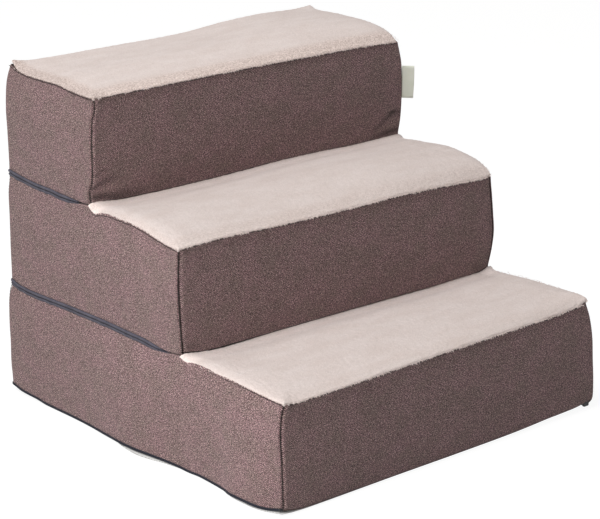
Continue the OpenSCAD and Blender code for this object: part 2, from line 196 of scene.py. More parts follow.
# Millimetres, as are all the sizes of foam and cloth below that don't say metres
slab_feet = {"base": 0.0, "middle": 127.0, "top": 254.0}
foam_fronts, foam_lows = {"base": -226.5, "middle": -71.5, "top": 83.5}, {"base": 4.5, "middle": 128.5, "top": 255.5}
foam_rear, foam_half, foam_lean, foam_high = 227.5, 219.0, 2.5, 116.0
for slab, body in slab_bodies.items():
    foam = bmesh.new()
    bmesh.ops.create_cube(foam, size=2)
    for v in foam.verts:
        lean = foam_lean if v.co.z > 0 else 0.0
        v.co = Vector((v.co.x * (foam_half - lean),
                       foam_rear - lean if v.co.y > 0 else foam_fronts[slab] + lean,
                       foam_lows[slab] if v.co.z < 0 else slab_feet[slab] + foam_high)) * 0.001
    bmesh.ops.bevel(foam, geom=foam.edges[:], offset=0.008, segments=4, profile=0.5, affect="EDGES", material=-1)
    foam_piece = finished(slab + "_foam_block", foam, foam_finish, body, "foam", slab + "_foam")

# Woven cover: linen-look cloth in plum brown and beige yarn, cut as a left, right, riser and rear
# panel for each slab, sewn together along plain inside seams at the corners and drawn tight over the
# foam. The cloth is pinned at its seams and blown out against the foam's pressure.
step_fronts = {"base": -232.5, "middle": -77.5, "top": 77.5}
tread_depth, cover_rear, half_width = 155.0, 232.5, 225.0
slab_width, stair_depth, panel_height = 2 * half_width, 2 * cover_rear, 120.0
panel_cut = (0.450, 0.127)   # flat size in metres of a riser or rear panel; the side panels are cut as high
seam_end, seam_taper, zip_half, floor_zip_top = 21.0, 12.0, 3.4, 2.7
# Behind the left foot of each riser: how far the side is sewn shut, and over how much more the zip opens
left_openings = {"base": (21.0, 12.0), "middle": (29.0, 24.0), "top": (18.0, 28.0)}

# Corner seams in millimetres: foot and head of each, how far it bows out, and how far it wanders sideways
corner_seams = {
    ("base", "front_left"): ((-223.8, -231.5, 6.0), (-225.0, -235.1, 122.0), ((0, 0), (0.3, 2.4), (0.7, 2.6), (1, 0)),
                             ((0, 0), (0.45, -1.6), (0.7, -3.3), (0.89, -2.7), (1, 0))),
    ("base", "front_right"): ((228.8, -234.8, 7.6), (221.8, -229.5, 125.5),
                              ((0, 0), (0.03, 3.0), (0.07, 4.8), (0.14, 5.4), (0.3, 6.0), (0.46, 6.0), (0.61, 6.4),
                               (0.85, 4.0), (1, 0)), ((0, 0), (1, 0))),
    ("base", "rear_left"): ((-230.0, 237.2, 7.1), (-226.9, 234.8, 132.2),
                            ((0, 0.0), (0.24, 2.1), (0.42, 2.4), (0.61, 3.6), (0.79, 3.9), (0.93, 2.4), (1, 0)),
                            ((0, 0), (1, 0))),
    ("base", "rear_right"): ((227.0, 235.0, 2.0), (225.5, 234.0, 128.0), ((0, 0), (0.5, 3.2), (1, 0)),
                             ((0, 0), (1, 0))),
    ("middle", "front_left"): ((-226.6, -75.8, 129.4), (-230.5, -77.5, 243.9),
                               ((0, 0), (0.4, 2.8), (0.75, 2.2), (1, 0)),
                               ((0, 0), (0.3, -0.7), (0.55, -1.3), (0.79, -0.9), (1, 0))),
    ("middle", "front_right"): ((224.4, -76.2, 129.0), (221.3, -79.5, 239.5),
                                ((0, 0), (0.09, 1.6), (0.22, 4.0), (0.4, 5.7), (0.58, 4.2), (0.79, 2.1), (1, 0)),
                                ((0, 0), (1, 0))),
    ("middle", "rear_left"): ((-226.9, 234.8, 132.2), (-224.4, 234.1, 260.1),
                              ((0, 0), (0.3, 0.8), (0.65, 1.3), (0.8, 1.9), (1, 0)), ((0, 0), (1, 0))),
    ("middle", "rear_right"): ((225.5, 234.0, 128.0), (225.0, 233.5, 255.0), ((0, 0), (0.5, 3.2), (1, 0)),
                               ((0, 0), (1, 0))),
    ("top", "front_left"): ((-226.2, 79.0, 256.4), (-221.9, 73.4, 372.1), ((0, 0), (0.5, 2.6), (1, 0)),
                            ((0, 0), (0.1, -2.0), (0.21, 0.8), (0.3, 1.0), (0.61, -0.9), (0.79, -1.2), (0.89, 0.8),
                             (1, 0))),
    ("top", "front_right"): ((225.4, 78.8, 256.8), (221.5, 78.0, 371.0),
                             ((0, 0), (0.19, 3.0), (0.38, 4.4), (0.56, 4.9), (0.75, 4.6), (0.88, 2.4), (1, 0)),
                             ((0, 0), (1, 0))),
    ("top", "rear_left"): ((-224.4, 234.1, 260.1), (-220.0, 229.9, 383.8),
                           ((0, 0), (0.23, 1.5), (0.41, 3.0), (0.59, 4.6), (0.74, 4.7), (0.88, 3.4), (1, 0)),
                           ((0, 0), (1, 0))),
    ("top", "rear_right"): ((225.0, 233.5, 255.0), (223.0, 235.0, 388.6), ((0, 0), (0.5, 3.4), (1, 0)),
                            ((0, 0), (1, 0))),
}
for (slab, corner), (foot, head, bow, wander) in list(corner_seams.items()):
    if corner != "front_left":   # these make the outline, so their tucked seams start further out
        out = np.array((-2.0 if corner == "rear_left" else 2.0, -2.0 if corner == "front_right" else 2.0, 0.0))
        corner_seams[slab, corner] = (tuple(np.array(foot) + out), tuple(np.array(head) + out), bow, wander)
# Heights of the seams along the cloth, by their share from left to right or from front to rear
seam_heights = {
    ("base", "riser_foot"): ((0, 6.0), (0.05, 1.6), (0.1, 0.9), (0.5, 0.8), (0.63, 1.0), (0.71, 1.4), (0.79, 2.5),
                             (0.84, 3.6), (0.9, 4.3), (0.94, 4.9), (1, 7.6)),
    ("middle", "riser_foot"): ((0, 129.4), (0.03, 128.2), (0.054, 126.0), (0.1, 124.4), (0.2, 123.7), (0.3, 124.3),
                               (0.7, 123.6), (0.8, 123.2), (0.9, 124.0), (0.96, 124.6), (1, 129.0)),
    ("top", "riser_foot"): ((0, 256.4), (0.03, 256.2), (0.051, 255.4), (0.084, 253.7), (0.2, 253.1), (0.36, 253.8),
                            (0.47, 255.0), (0.614, 256.8), (0.717, 256.7), (0.823, 255.8), (0.904, 255.9), (1, 256.8)),
    ("base", "front"): ((0, 122.0), (0.04, 120.4), (0.1, 120.4), (0.5, 121.7), (0.81, 122.3), (0.88, 122.4),
                        (0.95, 123.9), (1, 125.5)),
    ("middle", "front"): ((0, 243.9), (0.04, 245.6), (0.14, 246.1), (0.3, 244.2), (0.56, 243.4), (0.66, 244.1),
                          (0.8, 242.5), (0.93, 240.3), (1, 239.5)),
    ("top", "front"): ((0, 372.1), (0.03, 373.3), (0.12, 373.3), (0.3, 373.9), (0.5, 374.4), (0.7, 374.0),
                       (0.88, 373.5), (0.93, 372.8), (1, 371.0)),
    ("base", "left"): ((0, 122.0), (0.5, 125.8), (0.85, 127.0), (0.95, 125.4), (1, 127.4)),
    ("middle", "left"): ((0, 243.9), (0.2, 247.1), (0.41, 252.8), (0.55, 254.4), (0.77, 254.6), (0.88, 252.7),
                         (0.955, 250.0), (1, 254.9)),
    ("top", "left"): ((0, 372.1), (0.13, 372.5), (0.27, 373.8), (0.43, 376.5), (0.58, 376.3), (0.74, 376.4),
                      (0.9, 379.0), (1, 383.8)),
    ("base", "right"): ((0, 125.5), (0.03, 127.6), (0.07, 129.9), (0.11, 130.2), (0.27, 130.2), (0.58, 130.0),
                        (0.68, 129.4), (0.8, 128.2), (0.95, 125.0), (1, 127.0)),
    ("middle", "right"): ((0, 239.5), (0.054, 244.8), (0.12, 249.8), (0.23, 254.1), (0.34, 256.5), (0.45, 257.9),
                          (0.56, 256.9), (0.675, 255.2), (0.8, 254.0), (0.95, 251.5), (1, 254.0)),
    ("top", "right"): ((0, 371.0), (0.07, 374.8), (0.11, 377.2), (0.2, 381.3), (0.3, 383.3), (0.41, 384.5),
                       (0.52, 384.5), (0.64, 384.9), (0.75, 384.3), (0.845, 383.9), (0.92, 384.4), (0.965, 385.9),
                       (1, 388.6)),
    ("top", "rear"): ((0, 383.8), (0.03, 383.2), (0.067, 381.6), (0.147, 381.3), (0.3, 381.6), (0.4, 381.6),
                      (0.54, 382.6), (0.61, 385.0), (0.68, 387.7), (0.82, 390.0), (0.93, 388.6), (0.97, 389.4),
                      (1, 388.6)),
}
# Middle line of the zip under each slab, left and right from front to rear, and at the rear from left to right
joint_heights = {
    ("top", "left"): ((0, 255.6), (0.05, 255.0), (0.14, 254.4), (0.234, 253.2), (0.346, 252.9), (0.473, 254.4),
                      (0.634, 254.7), (0.8, 256.6), (0.914, 258.7), (1, 260.1)),
    ("top", "right"): ((0, 255.8), (0.06, 254.2), (0.1, 254.0), (0.9, 254.0), (1, 255.0)),
    ("top", "rear"): ((0, 260.1), (0.05, 258.0), (0.3, 256.0), (0.7, 254.5), (1, 255.0)),
    ("middle", "left"): ((0, 128.6), (0.04, 127.4), (0.1, 125.6), (0.15, 125.2), (0.22, 126.9), (0.3, 127.3),
                         (0.44, 128.5), (0.6, 128.4), (0.75, 127.5), (0.87, 127.0), (0.955, 128.8), (1, 132.2)),
    ("middle", "right"): ((0, 128.2), (0.04, 127.0), (0.95, 127.0), (1, 128.0)),
    ("middle", "rear"): ((0, 132.2), (0.05, 129.5), (0.3, 128.0), (0.7, 127.0), (1, 128.0)),
    ("base", "left"): ((0, 5.9), (0.02, 3.8), (0.045, 1.9), (0.08, 1.9), (0.12, 2.0), (0.16, 1.4), (0.2, 0.1),
                       (0.24, 0.4), (0.28, 0.9), (0.316, 0.1), (0.357, 1.4), (0.4, 1.7), (0.45, 2.3), (0.5, 2.1),
                       (0.56, 1.9), (0.62, 1.2), (0.7, 0.4), (0.85, 0.5), (0.9, 2.6), (0.954, 3.7), (1, 7.1)),
    ("base", "right"): ((0, 2.0), (0.03, 0), (0.95, 0), (1, 2.0)),
    ("base", "rear"): ((0, 7.1), (0.04, 3.0), (0.1, 0.2), (0.9, 0), (1, 2.0)),
}
# How far the foot of the left side hangs out over the floor, from front to rear
left_foot_bulge = ((0, 0), (0.03, 2.2), (0.05, 5.4), (0.08, 8.0), (0.12, 8.4), (0.16, 7.4), (0.19, 2.4), (0.23, 0.6),
                   (0.27, 0.0), (0.31, 0.0), (0.357, 1.6), (0.4, 3.4), (0.444, 6.4), (0.4875, 8.4), (0.534, 8.6),
                   (0.578, 6.8), (0.624, 4.4), (0.669, 1.8), (0.718, 0.4), (0.765, 0.0), (0.865, 0.0), (0.93, 0.6),
                   (1, 0))


def measured(table, shares):
    """Smooth curve through a table of shares and values, which never overshoots a value."""
    at, value = np.array(table, float).T
    slope = np.diff(value) / np.diff(at)
    both = np.zeros(len(at))
    inner = slope[:-1] * slope[1:] > 0
    both[1:-1][inner] = 2 * slope[:-1][inner] * slope[1:][inner] / (slope[:-1][inner] + slope[1:][inner])
    shares = np.clip(np.asarray(shares, float), 0, 1)
    i = np.clip(np.searchsorted(at, shares, side="right") - 1, 0, len(at) - 2)
    gap = at[i + 1] - at[i]
    t = (shares - at[i]) / gap
    return ((2 * t**3 - 3 * t**2 + 1) * value[i] + (t**3 - 2 * t**2 + t) * gap * both[i]
            + (3 * t**2 - 2 * t**3) * value[i + 1] + (t**3 - t**2) * gap * both[i + 1])


def between(a, b, shares):
    a, b = np.array(a, float), np.array(b, float)
    return a[None, :] + np.asarray(shares)[:, None] * (b - a)[None, :]


def corner_seam(slab, corner, shares):
    foot, head, bow, wander = corner_seams[slab, corner]
    out_x = -1 if corner.endswith("left") else 1
    out_y = -1 if corner.startswith("front") else 1
    outwards = np.array([out_x, out_y, 0]) / math.sqrt(2)
    sideways = np.array([0.7536, -0.6573, 0])   # to the camera's right
    return (between(foot, head, shares) + measured(bow, shares)[:, None] * outwards
            + measured(wander, shares)[:, None] * sideways)


def joint_line(slab, side, shares):
    """Middle line of the zip under a slab; the floor zip's is measured from the floor."""
    if side == "rear":
        left, right = corner_seams[slab, "rear_left"][0], corner_seams[slab, "rear_right"][0]
        line = between(left, right, shares)
    else:
        line = between(corner_seams[slab, "front_" + side][0], corner_seams[slab, "rear_" + side][0], shares)
        if side == "right":
            line[:, 0] = half_width + (line[:, 0] - half_width) * np.clip(1 - np.asarray(shares) * 25, 0, 1)
    if (slab, side) == ("base", "left"):
        line[:, 0] -= measured(left_foot_bulge, shares)
    line[:, 2] = measured(joint_heights[slab, side], shares)
    return line


def opening(slab, line):
    """Half the height of the gap that the zip fills, along a line; on the left it opens more slowly."""
    behind = line[:, 1] - step_fronts[slab]
    shut, slow = left_openings[slab]
    return zip_half * np.clip(np.where(line[:, 0] < 0, (behind - shut) / slow, (behind - seam_end) / seam_taper), 0, 1)


slab_above = {"base": "middle", "middle": "top"}


def side_foot(slab, side, shares):
    line = joint_line(slab, side, shares)
    line[:, 2] += floor_zip_top if slab == "base" else 0.2 + opening(slab, line)
    return line


def side_head(slab, side, shares):
    depth = cover_rear - step_fronts[slab]
    tread_share = tread_depth / depth
    front, rear = corner_seams[slab, "front_" + side][1], corner_seams[slab, "rear_" + side][1]
    if slab == "top":
        line = between(front, rear, shares)
        line[:, 2] = measured(seam_heights[slab, side], shares)
        return line
    upper = slab_above[slab]
    foot = corner_seams[upper, "front_" + side][0]
    on_tread = between(front, foot, np.asarray(shares) / tread_share)
    on_tread[:, 2] = measured(seam_heights[slab, side], np.asarray(shares) / tread_share)
    under = joint_line(upper, side, np.clip((np.asarray(shares) - tread_share) / (1 - tread_share), 0, 1))
    under[:, 2] -= 0.2 + opening(upper, under)
    return np.where((np.asarray(shares) < tread_share - 1e-6)[:, None], on_tread, under)


def spread(length, cell, near=(0.0, 0.5, 1.3, 2.6, 4.6, 7.5)):
    """Shares of a run whose rows of cells get finer towards both ends."""
    ends = np.array(near) / length
    count = max(2, round((1 - 2 * ends[-1]) * length / cell))
    inner = np.linspace(ends[-1], 1 - ends[-1], count + 1)
    return np.concatenate([ends[:-1], inner, (1 - ends[:-1])[::-1]])


def side_spread(slab):
    depth = cover_rear - step_fronts[slab]
    tread = spread(tread_depth, 7.5) * tread_depth
    if slab == "top":
        return tread / depth
    rest = depth - tread_depth
    behind = tread_depth + spread(rest, 8.5, (0.0, 1.5, 4.6, 9.0)) * rest
    return np.concatenate([tread, behind[1:]]) / depth


def stretched_between(low, high, first, last, us, vs):
    """A smooth skin through four edge lines, as cloth pulled tight in a frame; low and high run with u."""
    u, v = us[:, None, None], vs[None, :, None]
    skin = (1 - v) * low[:, None, :] + v * high[:, None, :] + (1 - u) * first[None, :, :] + u * last[None, :, :]
    corners = ((1 - u) * (1 - v) * low[0] + u * (1 - v) * low[-1] + (1 - u) * v * high[0] + u * v * high[-1])
    return skin - corners


def tucked(skin, outwards, across, up, us, vs, round_at, lip=0.0, groove=1.0):
    """Rolls the cloth's edges over the foam's rounded corners and down into the seams.
    round_at gives the radius at the low u, high u, low v and high v edges, 0 for a seam in one plane.
    lip is how far the seam allowance under the cloth pushes it out beside the seam."""
    length, height = np.linalg.norm(skin[-1, 0] - skin[0, 0]), np.linalg.norm(skin[0, -1] - skin[0, 0])
    outwards, across, up = (np.array(a, float) for a in (outwards, across, up))
    u_mm, v_mm = us[:, None] * length, vs[None, :] * height
    zero = np.zeros((len(us), len(vs)))
    sunk = zero.copy()
    moved = skin.copy()
    for distance, radius, inwards, share in ((u_mm + zero, round_at[0], across, 1.0),
                                             (length - u_mm + zero, round_at[1], -across, 1.0),
                                             (v_mm + zero, round_at[2], up, 1.0),
                                             (height - v_mm + zero, round_at[3], -up, 0.35)):
        radius = radius + zero
        reach = np.maximum(0.71 * radius, 1e-6)
        arc = radius - np.sqrt(np.maximum(radius**2 - np.maximum(reach - distance, 0)**2, 0))
        seam = groove * np.exp(-(distance / 0.9)**2)
        sunk = np.maximum(sunk, arc + seam)
        turned = np.where(radius > 0, 0.29 * radius + groove, 0) * share
        fade = np.clip(1 - distance / np.maximum(3 * radius, 1e-6), 0, 1)**2
        moved += (turned * fade)[:, :, None] * inwards
        if abs(inwards[2]) < 0.5:
            moved += lip * np.exp(-((distance - 3.3) / 1.9)**2)[:, :, None] * outwards
    return moved - sunk[:, :, None] * outwards


def swell(share):
    """How far the foam swells the cloth between two seams: 0 at both, 1 in the middle."""
    return np.maximum(0, np.sin(np.pi * np.clip(share, 0, 1)))**1.3


def cloth_grid(points, us, vs, flat, cut_across=False):
    """Grid of cloth over the points in millimetres, with a map of its flat cut in metres."""
    mesh = bmesh.new()
    bmesh.ops.create_grid(mesh, x_segments=len(us) - 1, y_segments=len(vs) - 1, size=0.5)
    column = {v: (round((v.co.x + 0.5) * (len(us) - 1)), round((v.co.y + 0.5) * (len(vs) - 1))) for v in mesh.verts}
    weave = mesh.loops.layers.uv.new("flat cut")
    for face in mesh.faces:
        for loop in face.loops:
            i, j = column[loop.vert]
            place = (us[i] * flat[0], vs[j] * flat[1])
            loop[weave].uv = (place[1], -place[0]) if cut_across else place
    for v, (i, j) in column.items():
        v.co = Vector(points[i, j]) * 0.001
    return mesh


def woven_cloth(name, warp_low, warp_high, weft_low, weft_high):
    """Twill of thick and thin yarns, 0.6 mm apart, laid along the flat cut."""
    finish, shader = cloth_finish(name, 0.9, 0.12)
    flat_cut = wire(finish, "ShaderNodeUVMap", {"uv_map": "flat cut"}).outputs[0]
    yarns = wire(finish, "ShaderNodeVectorMath", {"operation": "SCALE"}, Vector=flat_cut, Scale=1 / 0.00060).outputs[0]
    wave = wire(finish, "ShaderNodeTexNoise", Vector=flat_cut, Scale=140.0, Detail=2.0)
    shift = wire(finish, "ShaderNodeVectorMath", {"operation": "MULTIPLY_ADD"}, _0=wave.outputs[1], _1=(0.5, 0.5, 0),
                 _2=yarns)
    part = wire(finish, "ShaderNodeSeparateXYZ", Vector=shift.outputs[0])
    a, b = part.outputs["X"], part.outputs["Y"]

    def sum_of(kind, x, y=0.0, z=0.0):
        return wire(finish, "ShaderNodeMath", {"operation": kind}, _0=x, _1=y, _2=z).outputs[0]

    warp_number, weft_number = sum_of("FLOOR", a), sum_of("FLOOR", b)
    twill = sum_of("LESS_THAN", sum_of("FRACT", sum_of("MULTIPLY", sum_of("ADD", warp_number, weft_number), 0.25)), 0.5)
    rounds = [sum_of("SINE", sum_of("MULTIPLY", sum_of("FRACT", side), math.pi)) for side in (a, b)]
    # every yarn is spun thick and thin, so its tone and width change every few millimetres
    tones = []
    for along, number, low, high, row in ((b, warp_number, warp_low, warp_high, 3.7),
                                          (a, weft_number, weft_low, weft_high, 9.1)):
        place = wire(finish, "ShaderNodeCombineXYZ", X=sum_of("MULTIPLY", number, row),
                     Y=sum_of("MULTIPLY", along, 0.16))
        spun = wire(finish, "ShaderNodeTexNoise", {"noise_dimensions": "2D"}, Scale=1.0, Detail=1.0,
                    Vector=place.outputs[0])
        tones.append(two_tones(finish, spun.outputs[0], low, high, (0.36, 0.64)))
    yarn_tone = wire(finish, "ShaderNodeMix", {"data_type": "RGBA"})
    top_round = wire(finish, "ShaderNodeMix", {"data_type": "FLOAT"})
    for mix, place, source in ((yarn_tone, 0, twill), (yarn_tone, 6, tones[1]), (yarn_tone, 7, tones[0]),
                               (top_round, 0, twill), (top_round, 2, rounds[1]), (top_round, 3, rounds[0])):
        finish.node_tree.links.new(source, mix.inputs[place])
    shade = sum_of("MULTIPLY_ADD", top_round.outputs[0], 0.55, 0.58)
    slub_place = wire(finish, "ShaderNodeVectorMath", {"operation": "MULTIPLY"}, _0=flat_cut, _1=(700.0, 840.0, 0))
    slubs = wire(finish, "ShaderNodeTexNoise", {"noise_dimensions": "2D"}, Vector=slub_place.outputs[0],
                 Scale=1.0, Detail=3.0, Roughness=0.7)
    slub = two_tones(finish, slubs.outputs[0], (0.24, 0.24, 0.24), (1.84, 1.84, 1.84), (0.38, 0.62))
    dyed = wire(finish, "ShaderNodeTexNoise", {"noise_dimensions": "2D"}, Vector=flat_cut, Scale=38.0, Detail=4.0,
                Roughness=0.65)
    dye = two_tones(finish, dyed.outputs[0], (0.91, 0.945, 0.895), (1.06, 1.015, 1.035), (0.35, 0.65))
    coloured = wire(finish, "ShaderNodeVectorMath", {"operation": "SCALE"}, Vector=yarn_tone.outputs[2],
                    Scale=shade).outputs[0]
    for tint in (slub, dye):
        coloured = wire(finish, "ShaderNodeVectorMath", {"operation": "MULTIPLY"}, _0=coloured, _1=tint).outputs[0]
    # painted shade and highlight: the cloth's colour is darkened along its creases, where shade falls, and lightened
    # along the pleats beside them, where they catch the light
    creases = wire(finish, "ShaderNodeAttribute", {"attribute_name": "crease tone"}).outputs["Fac"]
    coloured = wire(finish, "ShaderNodeVectorMath", {"operation": "SCALE"}, Vector=coloured,
                    Scale=sum_of("ADD", creases, 1.0)).outputs[0]
    dressed(finish, shader, coloured, sum_of("MULTIPLY_ADD", slubs.outputs[0], 1.2, top_round.outputs[0]))
    return finish


cover_finish = woven_cloth("woven cover", (0.0665, 0.032, 0.039), (0.154, 0.084, 0.095), (0.261, 0.175, 0.175),
                           (0.503, 0.366, 0.356))
cover_thickness, corner_round = 0.0011, 4.0
riser_folds = {   # pleats drawn into the seams: from and to as shares across and up, width and height in millimetres
    "top": (((0.0, 0.11), (0.09, 0.17), 4.0, 1.8), ((0.0, 0.22), (0.05, 0.30), 3.0, 1.0),
            ((1.0, 0.18), (0.90, 0.10), 4.6, 1.6)),
    "middle": (((0.0, 0.06), (0.08, 0.16), 4.5, 1.6), ((1.0, 0.2), (0.92, 0.08), 4.5, 1.4)),
    "base": (((0.0, 0.95), (0.1, 0.80), 7, 0.7), ((1.0, 0.9), (0.9, 0.78), 7, 0.7)),
}


def beside_fold(place, start, end):
    """Where a place on a riser lies by a fold: its share of the fold's length, and how far off it."""
    a, b = np.array(start) * (slab_width, panel_height), np.array(end) * (slab_width, panel_height)
    run, here = b - a, place - a
    return (here @ run) / (run @ run), here @ np.array([-run[1], run[0]]) / math.hypot(*run)


def creased(points, folds, outwards, us, vs):
    """Raises pleats in a riser, each with a shallow valley on both sides."""
    outwards = np.array(outwards, float)
    for start, end, width, depth in folds:
        place = np.stack(np.meshgrid(us * slab_width, vs * panel_height, indexing="ij"), -1)
        share, off = beside_fold(place, start, end)
        fade = np.clip(share * 6, 0, 1) * np.clip(1.25 - share, 0, 1)**1.5 * (share > 0)
        reach = width * (0.6 + 0.6 * np.clip(share, 0, 1))
        pleat = np.exp(-(off / reach)**2) - 0.45 * np.exp(-((np.abs(off) - 1.7 * reach) / reach)**2)
        points = points + (depth * fade * pleat)[:, :, None] * outwards
    return points


fold_painted_shade = {   # painted shade along creases and painted highlight on the pleats beside them: from and to as shares across and up, half width, tone
    "top": (((0.0, 0.145), (0.06, 0.235), 3.2, -0.52), ((-0.01, 0.065), (0.13, 0.04), 4.6, -0.56),
            ((0.0, 0.10), (0.09, 0.17), 3.2, 0.14), ((0.0, 0.27), (0.04, 0.31), 1.8, -0.34),
            ((1.0, 0.255), (0.95, 0.27), 2.8, -0.55), ((0.965, 0.28), (0.905, 0.13), 3.2, -0.50),
            ((1.0, 0.075), (0.905, 0.045), 3.4, -0.66), ((0.995, 0.19), (0.925, 0.11), 4.2, 0.18)),
    "middle": (((0.0, 0.05), (0.07, 0.10), 4.0, -0.28), ((1.0, 0.10), (0.94, 0.04), 4.5, -0.24)),
    "base": (((0.0, 0.97), (0.05, 0.90), 4.0, -0.12), ((1.0, 0.95), (0.94, 0.88), 4.0, -0.12)),
}


def paint_fold_shade(mesh, folds):
    """Paints shade into a riser's creases and highlight onto its pleats, as a value on its points, from where they lie
    on the flat cut.
    """
    tone = mesh.verts.layers.float.new("crease tone")
    weave = mesh.loops.layers.uv.active
    for v in mesh.verts:
        v[tone] = 0.0
        place = v.link_loops[0][weave].uv
        across, up = -place[1] / panel_cut[0], place[0] / panel_cut[1]
        for start, end, fold_half, amount in folds:
            share, off = beside_fold(np.array((across * slab_width, up * panel_height)), start, end)
            if -0.1 < share < 1.35:
                reach = fold_half * (0.75 + 0.6 * max(share, 0))
                fade = min(1, max(0, share * 7 + 0.7)) * min(1, max(0, 1.35 - share) * 1.4)
                v[tone] += amount * math.exp(-(off / reach)**2) * fade


cloth_pieces = {}   # each with its flat cut in metres and how far the foam may blow it out
for slab, body in slab_bodies.items():
    up_spread = spread(panel_height, 7.5)
    depth = cover_rear - step_fronts[slab]
    deep = side_spread(slab)
    for side, mirror in (("left", -1), ("right", 1)):
        low, high = side_foot(slab, side, deep), side_head(slab, side, deep)
        front = corner_seam(slab, "front_" + side, up_spread)
        rear = corner_seam(slab, "rear_" + side, up_spread)
        for edge, end in ((front, 0), (rear, -1)):
            edge += between(low[end] - edge[0], high[end] - edge[-1], up_spread)
        skin = stretched_between(low, high, front, rear, deep, up_spread)
        skin[:, :, 0] += mirror * 1.8 * swell(deep)[:, None] * swell(up_spread)[None, :]
        # only the tread's seam turns over an edge of the foam; zips and the deck's seam lie flat
        turned = np.where(deep * depth < tread_depth, 1.8, 0.0)[:, None] * np.ones((1, len(up_spread)))
        shape = tucked(skin, (mirror, 0, 0), (0, 1, 0), (0, 0, 1), deep, up_spread,
                       (corner_round, corner_round, 0.0, turned))
        flat = (depth * 0.001, panel_cut[1])
        if side == "left":
            shape, shares = shape[::-1], 1 - deep[::-1]
        else:
            shares = deep
        mesh = cloth_grid(shape, shares, up_spread, flat)
        name = f"{slab}_{side}_cover"
        piece = finished(name, mesh, cover_finish, body, "woven_cover", f"{slab}_{side}_panel")
        cloth_pieces[name] = (piece, flat, 2.6)
    for face_name, corners, outwards, along, bulge, blown_out in (
            ("riser", ("front_left", "front_right"), (0, -1, 0), (1, 0, 0), 1.4, 2.2),
            ("rear", ("rear_right", "rear_left"), (0, 1, 0), (-1, 0, 0), 1.8, 2.6)):
        fine = 3.6 if (slab, face_name) == ("top", "riser") else 8.0   # the creases of the top riser need small cells
        across_spread, up_spread = spread(slab_width, fine), spread(panel_height, fine)
        first, last = (corner_seam(slab, corner, up_spread) for corner in corners)
        if face_name == "riser":
            foot = between(corner_seams[slab, "front_left"][0], corner_seams[slab, "front_right"][0], across_spread)
            foot[:, 2] = measured(seam_heights[slab, "riser_foot"], across_spread)
            head = between(corner_seams[slab, "front_left"][1], corner_seams[slab, "front_right"][1], across_spread)
            head[:, 2] = measured(seam_heights[slab, "front"], across_spread)
        else:
            foot = joint_line(slab, "rear", across_spread)
            foot[:, 2] += floor_zip_top if slab == "base" else 0.2 + zip_half
            if slab == "top":
                head = between(corner_seams[slab, "rear_left"][1], corner_seams[slab, "rear_right"][1], across_spread)
                head[:, 2] = measured(seam_heights[slab, "rear"], across_spread)
            else:
                head = joint_line(slab_above[slab], "rear", across_spread)
                head[:, 2] -= 0.2 + zip_half
            foot, head = foot[::-1], head[::-1]
        for edge, end in ((first, 0), (last, -1)):
            edge += between(foot[end] - edge[0], head[end] - edge[-1], up_spread)
        skin = stretched_between(foot, head, first, last, across_spread, up_spread)
        swollen = bulge * (swell(across_spread)[:, None] * swell(up_spread)[None, :])
        skin += swollen[:, :, None] * np.array(outwards, float)
        head_round = 0.0 if face_name == "rear" and slab != "top" else 1.8
        foot_round = 2.0 if face_name == "riser" else 0.0
        post_round = {"base": 7.0, "middle": 10.0, "top": 6.0}[slab] if face_name == "riser" else corner_round
        shape = tucked(skin, outwards, along, (0, 0, 1), across_spread, up_spread,
                       (post_round, post_round, foot_round, head_round), lip=0.7)
        if face_name == "riser":
            shape = creased(shape, riser_folds[slab], outwards, across_spread, up_spread)
        mesh = cloth_grid(shape, across_spread, up_spread, panel_cut, cut_across=True)
        if face_name == "riser":
            # painted shade in the creases and painted highlight on the pleats
            paint_fold_shade(mesh, fold_painted_shade[slab])
        name = f"{slab}_{face_name}_cover"
        piece = finished(name, mesh, cover_finish, body, "woven_cover", f"{slab}_{face_name}_panel")
        cloth_pieces[name] = (piece, panel_cut, blown_out)

# Plush treads: short brushed pile in pale pinkish beige on a knitted back, sewn to the woven cover all
# round and puffed up by the foam. The pile rolls over the seams; along them it is grainier from its fibre
# ends and a darker beige that is painted shade, where it turns away from its sheen. Painted light lifts or
# lowers its tone in places.
tread_behind = {
    "base": ((0, 130.5), (0.021, 131.0), (0.054, 127.4), (0.084, 126.2), (0.14, 124.9), (0.2, 125.1), (0.29, 125.8),
             (0.69, 124.9), (0.78, 124.4), (0.87, 125.5), (0.96, 125.9), (1, 129.3)),
    "middle": ((0, 258.0), (0.021, 259.6), (0.051, 257.1), (0.084, 255.1), (0.2, 254.5), (0.36, 255.2), (0.47, 256.4),
               (0.614, 258.4), (0.717, 258.3), (0.823, 257.3), (0.904, 257.5), (1, 259.3)),
}
# By distance from the seam: how far the pile stands out past it, and its height over it along the
# front, where it is rubbed flat, and along the sides and rear, where it stays plump
roll_at = (0.0, 0.7, 1.5, 2.6, 4.0, 6.0, 9.0, 13.0, 18.0, 23.0, 27.0)
roll_out = (-3.0, -0.3, 1.2, 1.5, 1.1, 0.4, 0.0, 0.0, 0.0, 0.0, 0.0)
rubbed_up = (-2.0, -1.1, -0.3, 1.1, 2.0, 2.8, 3.5, 4.2, 5.0, 5.6, 5.8)
plump_up = (-2.0, -1.0, 0.4, 2.0, 3.1, 4.1, 4.8, 5.3, 5.6, 5.8, 5.8)
pile_height = 5.8
just_short = 0.99999   # keeps a tread's last point off the zip behind it

